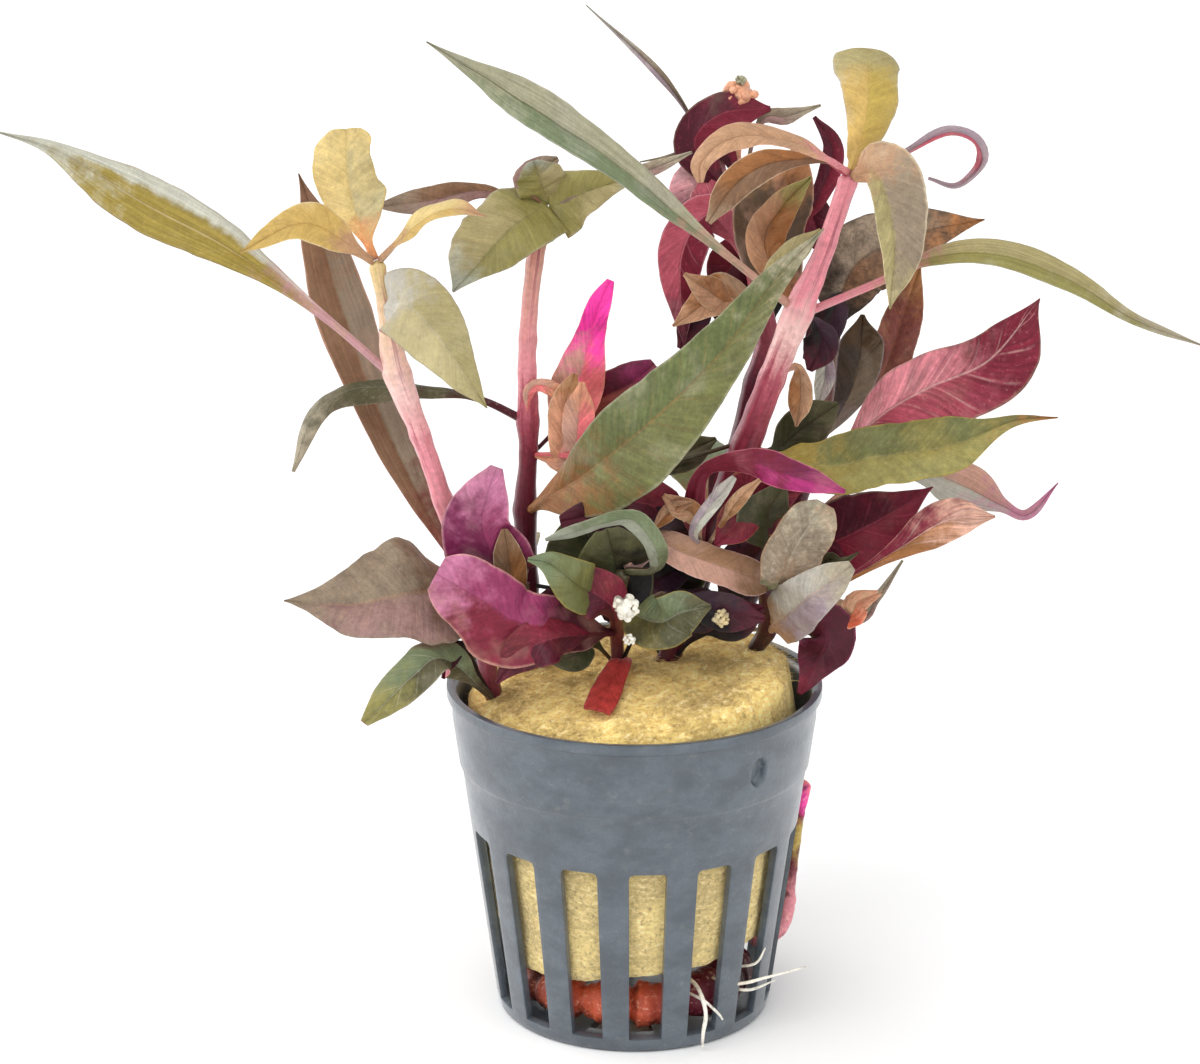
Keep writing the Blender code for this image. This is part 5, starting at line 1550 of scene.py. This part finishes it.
# %% [markdown]
# ## The leaves: building them
# The section of the skin is a flat loop: the first half of each turn lies on the upper side and the other
# half on the underside. Near the stalk the loop is round, and further out only the midrib's ridge is left
# of it. The upper and the lower half then take their own material. The small leaves that fill the plant
# between the big ones are joined into one piece for each kind.

# %% Width and route of a leaf
STALK_RADIUS = 0.6
SMALL_STALK_RADIUS = 0.3
TIP_RADIUS = 0.08
POINTED_TIP = 0.5
BLUNT_FROM = 0.88
BLUNTNESS = 0.55
BROAD_BLUNTNESS = 0.84
STALK_START = 0.55
LONGEST_STALK = 0.5


def half_width(leaf, stalk, share, plus):
    """Half the blade's width at a share of the way from the stalk's start to the tip."""
    widths = leaf.plus if plus and leaf.plus else leaf.minus
    thin = min(SMALL_STALK_RADIUS if leaf.slot else STALK_RADIUS, widths[0])
    if share <= stalk:
        return thin + (widths[0] - thin) * ease(share, 0.5 * stalk, stalk)
    place = (share - stalk) / (1 - stalk) * (len(widths) - 1)
    low = min(int(place), len(widths) - 2)
    before, after = widths[max(low - 1, 0)], widths[min(low + 2, len(widths) - 1)]
    width = between(before, widths[low], widths[low + 1], after, place - low)
    if widths[-1] > POINTED_TIP:
        bluntness = BROAD_BLUNTNESS if widths[-1] >= max(widths) else BLUNTNESS
        at_end = max(0.0, (share - BLUNT_FROM) / (1 - BLUNT_FROM))
        width *= math.sqrt(1 - (1 - bluntness**2) * at_end**2)
    return max(TIP_RADIUS, width)


def leaf_points(leaf):
    """The midrib's points, from inside the stem at its joint to the tip."""
    joints = stem_joints(leaf.stem)
    here = Vector(joints[leaf.joint][:3])
    before = Vector(joints[max(leaf.joint - 1, 0)][:3])
    after = Vector(joints[min(leaf.joint + 1, len(joints) - 1)][:3])
    grain = (after - before).normalized()
    way = Vector(over_pot(leaf.path[0])) - here
    aside = (way - way.dot(grain) * grain).normalized()
    start = here + aside * joints[leaf.joint][3] * STALK_START
    return [tuple(start)] + [over_pot(place) for place in leaf.path]


print("shortest row of widths:", min(len(leaf.minus) for leaf in [*LEAVES.values(), *SMALL_LEAVES]))

# %% The skin of a leaf
LEAF_AROUND = 36
SMALL_AROUND = 24
WIDE_FROM = 2.2
LEAF_ROWS_PER_MM = 2.1
MIN_LEAF_ROWS = 28
MAX_LEAF_ROWS = 110
LEAF_ROWS_POWER = 1.35
SECTION_POWER = 1.25
BLADE_HALF = 0.12
BLADE_OPENS = 0.16
FOLD_SUNK = 0.25
STEM_FADE = 0.6
RIDGE_FADE = 0.35
GROOVE = 0.14
PUCKER = 0.26
FULL_SIZE = 3.5
SWAY = 0.4
MINUS_PHASE, PLUS_PHASE = 4.1, 1.7
SLOW_UNEVEN, QUICK_UNEVEN = 0.05, 0.03


def leaf_mesh(leaf, first_material=0):
    """The leaf's skin, with its upper side in the first material and its underside in the next."""
    points = leaf_points(leaf)
    curve = smooth_curve(points)
    length = curve[2]
    stalk = min(LONGEST_STALK, math.dist(points[0], points[1]) / length) if leaf.stalk is None else leaf.stalk
    widest = max(leaf.minus + leaf.plus)
    seed = Vector((sum(leaf.minus) * 3.7, widest * 5.1, leaf.path[0][2] * 0.37))
    fold, curl = math.radians(leaf.fold), math.radians(leaf.curl)
    stalk_radius = SMALL_STALK_RADIUS if leaf.slot else min(STALK_RADIUS, max(leaf.minus[0], 0.25))

    @cache
    def bent_frame(share):
        here, _, side, up = curve_frame(curve, share, Vector(leaf.face))
        both = half_width(leaf, stalk, share, True) + half_width(leaf, stalk, share, False)
        sunk = FOLD_SUNK * both * math.sin(fold) * ease(share, stalk, stalk + BLADE_OPENS)
        return here - up * sunk, side, up

    def place(share, turn):
        angle = 2 * math.pi * turn
        across = math.copysign(abs(math.cos(angle)) ** SECTION_POWER, math.cos(angle))
        here, side, up = bent_frame(share)
        blade = ease(share, stalk, stalk + BLADE_OPENS)
        width = half_width(leaf, stalk, share, across > 0)
        half = Vector((0, across > 0, 0))
        uneven = SLOW_UNEVEN * noise.noise(seed + half + Vector((share * 7, 0, 0)))
        uneven += QUICK_UNEVEN * noise.noise(seed + half + Vector((share * 23, 5, 0)))
        width *= 1 + uneven * blade
        reach = across * width
        bend = (fold + curl * abs(across)) * blade
        stem_size = stalk_radius + (TIP_RADIUS - stalk_radius) * ease(share, 0.0, 1.0) ** STEM_FADE
        inside = max(0.0, 1 - (reach / stem_size) ** 2)
        round_part = stem_size * math.sqrt(inside)
        thin = BLADE_HALF * math.sqrt(max(0.0, 1 - across**4))
        if math.sin(angle) >= 0:
            thick = max(thin, round_part * (1 - blade)) - GROOVE * blade * inside
        else:
            thick = -max(thin, round_part * (1 - RIDGE_FADE * blade))
        size = min(1.0, width / FULL_SIZE)
        slanted = leaf.veins * share - VEIN_SLANT * abs(across)
        pucker = PUCKER * blade * size * math.sin(math.pi * slanted) ** 2 * (1 - across**2)
        pucker *= min(1.0, abs(across) * 3)
        phase = 2 * math.pi * leaf.waves * share + (PLUS_PHASE if across > 0 else MINUS_PHASE) + seed.x
        ripple = leaf.wave * blade * across**2 * size * math.sin(phase)
        crumple = noise.noise(here * 0.55 + side * across * 2 + seed)
        ripple += 0.5 * leaf.wave * blade * abs(across) ** 3 * size * crumple
        sway = SWAY * blade * size * noise.noise(here * 0.2 + side * across + seed)
        lift = abs(reach) * math.sin(bend) + pucker + ripple + sway
        return here + side * reach * math.cos(bend) + up * (lift + thick)

    scale = min(1.0, 0.55 + widest / 12)
    rows = min(MAX_LEAF_ROWS, max(MIN_LEAF_ROWS, round(length * LEAF_ROWS_PER_MM * scale)))
    around = LEAF_AROUND if widest > WIDE_FROM else SMALL_AROUND
    bm, layer = wrap_grid(rows, around, place, "blade", rows_power=LEAF_ROWS_POWER)
    for face in bm.faces:
        middle = sum(loop[layer].uv.x for loop in face.loops) / len(face.loops)
        face.material_index = first_material + (middle > 0.5)
    for face in bm.faces:
        for loop in face.loops:
            turn, share = loop[layer].uv
            loop[layer].uv = (math.cos(2 * math.pi * turn), share)
    return bm, length


def make_leaf(name, leaf):
    """A leaf that stands for the solid of the same name."""
    bm, length = leaf_mesh(leaf)
    sides = [skin_for(leaf.upper, leaf.veins), skin_for(leaf.under, leaf.veins)]
    make_piece(f"{name}_blade", bm, sides, nodes=(name,))
    print(name, "length in mm:", round(length, 1))


for leaf_name, leaf in LEAVES.items():
    make_leaf(leaf_name, leaf)

# %% The small leaves
def make_small_leaves():
    """The small leaves, gathered by the material slot that they belong to."""
    for slot in sorted({leaf.slot for leaf in SMALL_LEAVES}):
        whole = bmesh.new()
        finishes = []
        for leaf in (leaf for leaf in SMALL_LEAVES if leaf.slot == slot):
            gather(whole, leaf_mesh(leaf, len(finishes))[0])
            finishes += [skin_for(leaf.upper, leaf.veins)] * 2
        make_piece(f"small_leaves_{slot}", whole, finishes, slot=slot)
        print("small leaves of", slot, len(finishes) // 2)


make_small_leaves()

# %% [markdown]
# ## Cut ends, roots and the sprig
# Under the wool the cut ends of the stems lie on the pot's floor as one orange-red bundle, and a few white
# roots have grown out of the slots. A sprig of the plant leans on the pot's right side. All of them are
# tubes with uneven radii. The bundle has a waist wherever one cut end gives way to the next, and a waxy
# finish that changes colour from end to end tells them apart.

# %% Routes of the cut ends, roots and the sprig
STEM_ENDS = (
    (-14.5, 2, 5.4, 2.6), (-13.5, -6, 5.2, 3.1), (-8.5, -11.5, 5.0, 2.7), (-1, -14, 5.2, 3.2),
    (5, -13.3, 5.1, 2.7), (10.5, -10, 5.5, 3.2), (14, -4, 6.0, 3.0), (13.8, 1, 5.2, 2.2),
)
LONG_ROOT = (
    (7.2, -13.4, 9.2, 0.25), (8.9, -16.6, 8.6, 0.3), (9.9, -18.9, 6.0, 0.3), (9.6, -19.2, 3.2, 0.27),
    (9.4, -19.0, 0.7, 0.2),
)
SPRIG = (
    (17.4, 10.3, 7.6, 1.0), (19.8, 10.3, 7.8, 1.2), (22.3, 11, 10.5, 1.25), (23.4, 13, 17, 0.9),
    (24.5, 15, 24, 0.8), (25.5, 15, 31, 1.2),
)
ROOTS = (
    ((6.5, -14.5, 7.5, 0.2), (9.5, -17.8, 7.4, 0.22), (11.6, -18.2, 5.6, 0.18), (12.4, -17.6, 4.2, 0.12)),
    ((11, -12, 8.2, 0.2), (14.5, -14.5, 8.4, 0.24), (19, -13, 8.8, 0.2), (24.5, -9, 8.6, 0.12)),
    ((12, -12, 7.2, 0.18), (16, -13.5, 7.0, 0.2), (20, -11, 7.4, 0.13)),
    ((13.5, -11, 9.4, 0.18), (17, -12.5, 10.6, 0.18), (18.5, -11.5, 12.6, 0.12)),
)
print("short roots:", len(ROOTS))

# %% Their waxy finish
WAX_BLOTCH_SCALE = 420
WAX_CELLS_SCALE = 1700
BUNDLE_REACH = 30 * MM


def waxy(name, colours, across_x=False):
    """Stem tissue whose colour runs along the tube, or along X in millimetres from -15 to 15."""
    f = Finish(name, rough=0.4, gloss=0.4)
    along = f.uv("skin")[1]
    if across_x:
        along = f.math("MULTIPLY_ADD", f.parts(f.spots)[0], 1 / BUNDLE_REACH, 0.5)
    blotch = f.noise(f.spots, WAX_BLOTCH_SCALE, detail=4, rough=0.6)
    cells = f.noise(f.spots, WAX_CELLS_SCALE, detail=3, rough=0.65)
    colour = f.stops(f.math("ADD", along, f.math("MULTIPLY_ADD", blotch, 0.3, -0.15)), colours)
    colour = f.mix(f.ease(cells, 0.56, 0.7, 0.0, 0.4), colour, paint("cream"))
    colour = f.mix(f.ease(blotch, 0.44, 0.32, 0.0, 0.7), colour, paint("wine"))
    shade = f.times(f.about_one(blotch, 1.0), f.about_one(cells, 0.8))
    return f.finish(f.brighten(colour, shade), height=f.math("ADD", blotch, cells), depth=0.25)


white = waxy("root_white", ((0.0, "cream"), (0.5, "white"), (1.0, "white")))
print("nodes of the waxy finish:", len(white.node_tree.nodes))

# %% Build the cut ends, roots and the sprig
PINCHES = 7
PINCH_DEPTH = 0.3
PINCH_REACH = 0.5
LUMP, SMALL_LUMP = 0.22, 0.12


def lumpy(here, share, turn):
    """Uneven all over, by the place alone."""
    return 1 + LUMP * noise.noise(here * 0.35) + SMALL_LUMP * noise.noise(here * 1.1)


def bundled(here, share, turn):
    """Lumpy, with a narrow waist wherever one cut end gives way to the next."""
    waist = abs(math.cos(math.pi * PINCHES * share))
    return lumpy(here, share, turn) * (1 - PINCH_DEPTH * (1 - ease(waist, 0.0, PINCH_REACH)))


def make_cut_ends():
    """The bundle of cut ends on the pot's floor."""
    ends = waxy("cut_ends", ((0.0, "red_brown"), (0.2, "orange_red"), (0.55, "orange_red"), (0.72, "crimson"),
                             (1.0, "wine")), across_x=True)
    make_piece("stem_ends_bundle", tube(STEM_ENDS, 36, 200, bundled), [ends], nodes=("stem_ends",))


def make_roots():
    """The long root that hangs out of a slot, and the short ones beside it."""
    make_piece("root_long_thread", tube(LONG_ROOT, 10, 60, lumpy), [white], nodes=("root_long",))
    whole = bmesh.new()
    for root in ROOTS:
        gather(whole, tube(root, 8, 44, lumpy))
    make_piece("root_threads", whole, [white], slot="root_white")


def make_sprig():
    """SPRIG gives its places round the pot's axis: reach, turn in degrees, height and radius."""
    sprig = []
    for reach, turn, z, radius in SPRIG:
        angle = math.radians(turn)
        sprig.append((reach * math.cos(angle), reach * math.sin(angle), z, radius))
    pink = waxy("sprig_pink", ((0.0, "pink"), (0.35, "pink"), (0.5, "crimson"), (0.62, "gold"),
                               (0.75, "gold"), (0.82, "crimson"), (0.9, "hot_pink"), (1.0, "coral")))
    make_piece("side_sprig_stem", tube(sprig, 16, 110, lumpy), [pink], nodes=("side_sprig",))


make_cut_ends()
make_roots()
make_sprig()
print("slots that show them:", SLOT_OF["stem_ends"], SLOT_OF["root_long"], SLOT_OF["side_sprig"])

# %% [markdown]
# ## Flowers and a bud
# Small white flower heads sit low in the plant, and a rough peach bud tops the rosette. A flower head of
# this plant is a dense ball of papery bracts, which look like popcorn from a step away. So many small
# uneven lumps are set round its middle, and the bud is a bigger ball of that kind on a short stalk.

# %% A ball of lumps
LUMP_TURN = 2.4
LUMP_OUT = (0.5, 0.8)
LUMP_SIZE = (0.2, 0.36)
LUMP_CRUMPLE = 0.9


def add_lumps(bm, middle, size, count):
    """A ball of small uneven lumps round a point."""
    for number in range(count):
        tilt = math.acos(1 - 2 * (number + 0.5) / count)
        turn = number * LUMP_TURN
        way = Vector((math.sin(tilt) * math.cos(turn), math.sin(tilt) * math.sin(turn), math.cos(tilt)))
        spot = middle + way * size * random.uniform(*LUMP_OUT)
        radius = size * random.uniform(*LUMP_SIZE)
        lump = bmesh.ops.create_icosphere(bm, subdivisions=2, radius=radius, matrix=Matrix.Translation(spot))
        for v in lump["verts"]:
            v.co += (v.co - spot) * LUMP_CRUMPLE * noise.noise(v.co * 1.9 / size)


print("turn from lump to lump in degrees:", round(math.degrees(LUMP_TURN), 1))

# %% Flowers
FLOWERS = (((-2, -13, 63.3), 1.9, 46), ((-1.6, -12, 58.5), 0.9, 16), ((11, -9, 60.5), 1.3, 24))


def make_flowers():
    """Flower heads, each given by its place, its size and its number of lumps."""
    bm = bmesh.new()
    for spot, size, count in FLOWERS:
        add_lumps(bm, Vector(over_pot(spot)), size, count)
    papery = waxy("bracts", ((0.0, "cream"), (0.5, "white"), (1.0, "straw")), across_x=True)
    make_piece("flower_heads", bm, [papery], slot="root_white")
    print("flower heads:", len(FLOWERS))


make_flowers()

# %% The bud
BUD_AT = (13.6, 9, 130.2)
BUD_JOINT = 6
BUD_RADIUS = 2.4
BUD_CORE = 0.75
BUD_LUMPS = 34
CRUMBS_OFF = Vector((0.3, -0.6, BUD_RADIUS))
CRUMBS_RADIUS = 0.9
CRUMBS = 12


def make_bud():
    """A rough ball on a short stalk, with a crest of grey crumbs."""
    middle = Vector(over_pot(BUD_AT))
    joint = stem_joints("stem_rosette")[BUD_JOINT]
    route = [joint[:3] + [0.5], [middle.x, middle.y, middle.z - BUD_RADIUS, 0.6], [*middle, 0.8]]
    bm = tube(route, 12, 30)
    core = BUD_CORE * BUD_RADIUS
    bmesh.ops.create_icosphere(bm, subdivisions=3, radius=core, matrix=Matrix.Translation(middle))
    add_lumps(bm, middle, BUD_RADIUS, BUD_LUMPS)
    peach = waxy("bud_peach", ((0.0, "peach"), (0.6, "pink_tan"), (0.9, "peach")), across_x=True)
    make_piece("bud", bm, [peach], slot="leaf_tan")
    crumbs = bmesh.new()
    add_lumps(crumbs, middle + CRUMBS_OFF, CRUMBS_RADIUS, CRUMBS)
    grey = waxy("bud_crumbs", ((0.0, "sage"), (1.0, "olive_grey")), across_x=True)
    make_piece("bud_crumbs", crumbs, [grey], slot="leaf_grey")
    print("bud at", [round(side, 1) for side in middle])


make_bud()
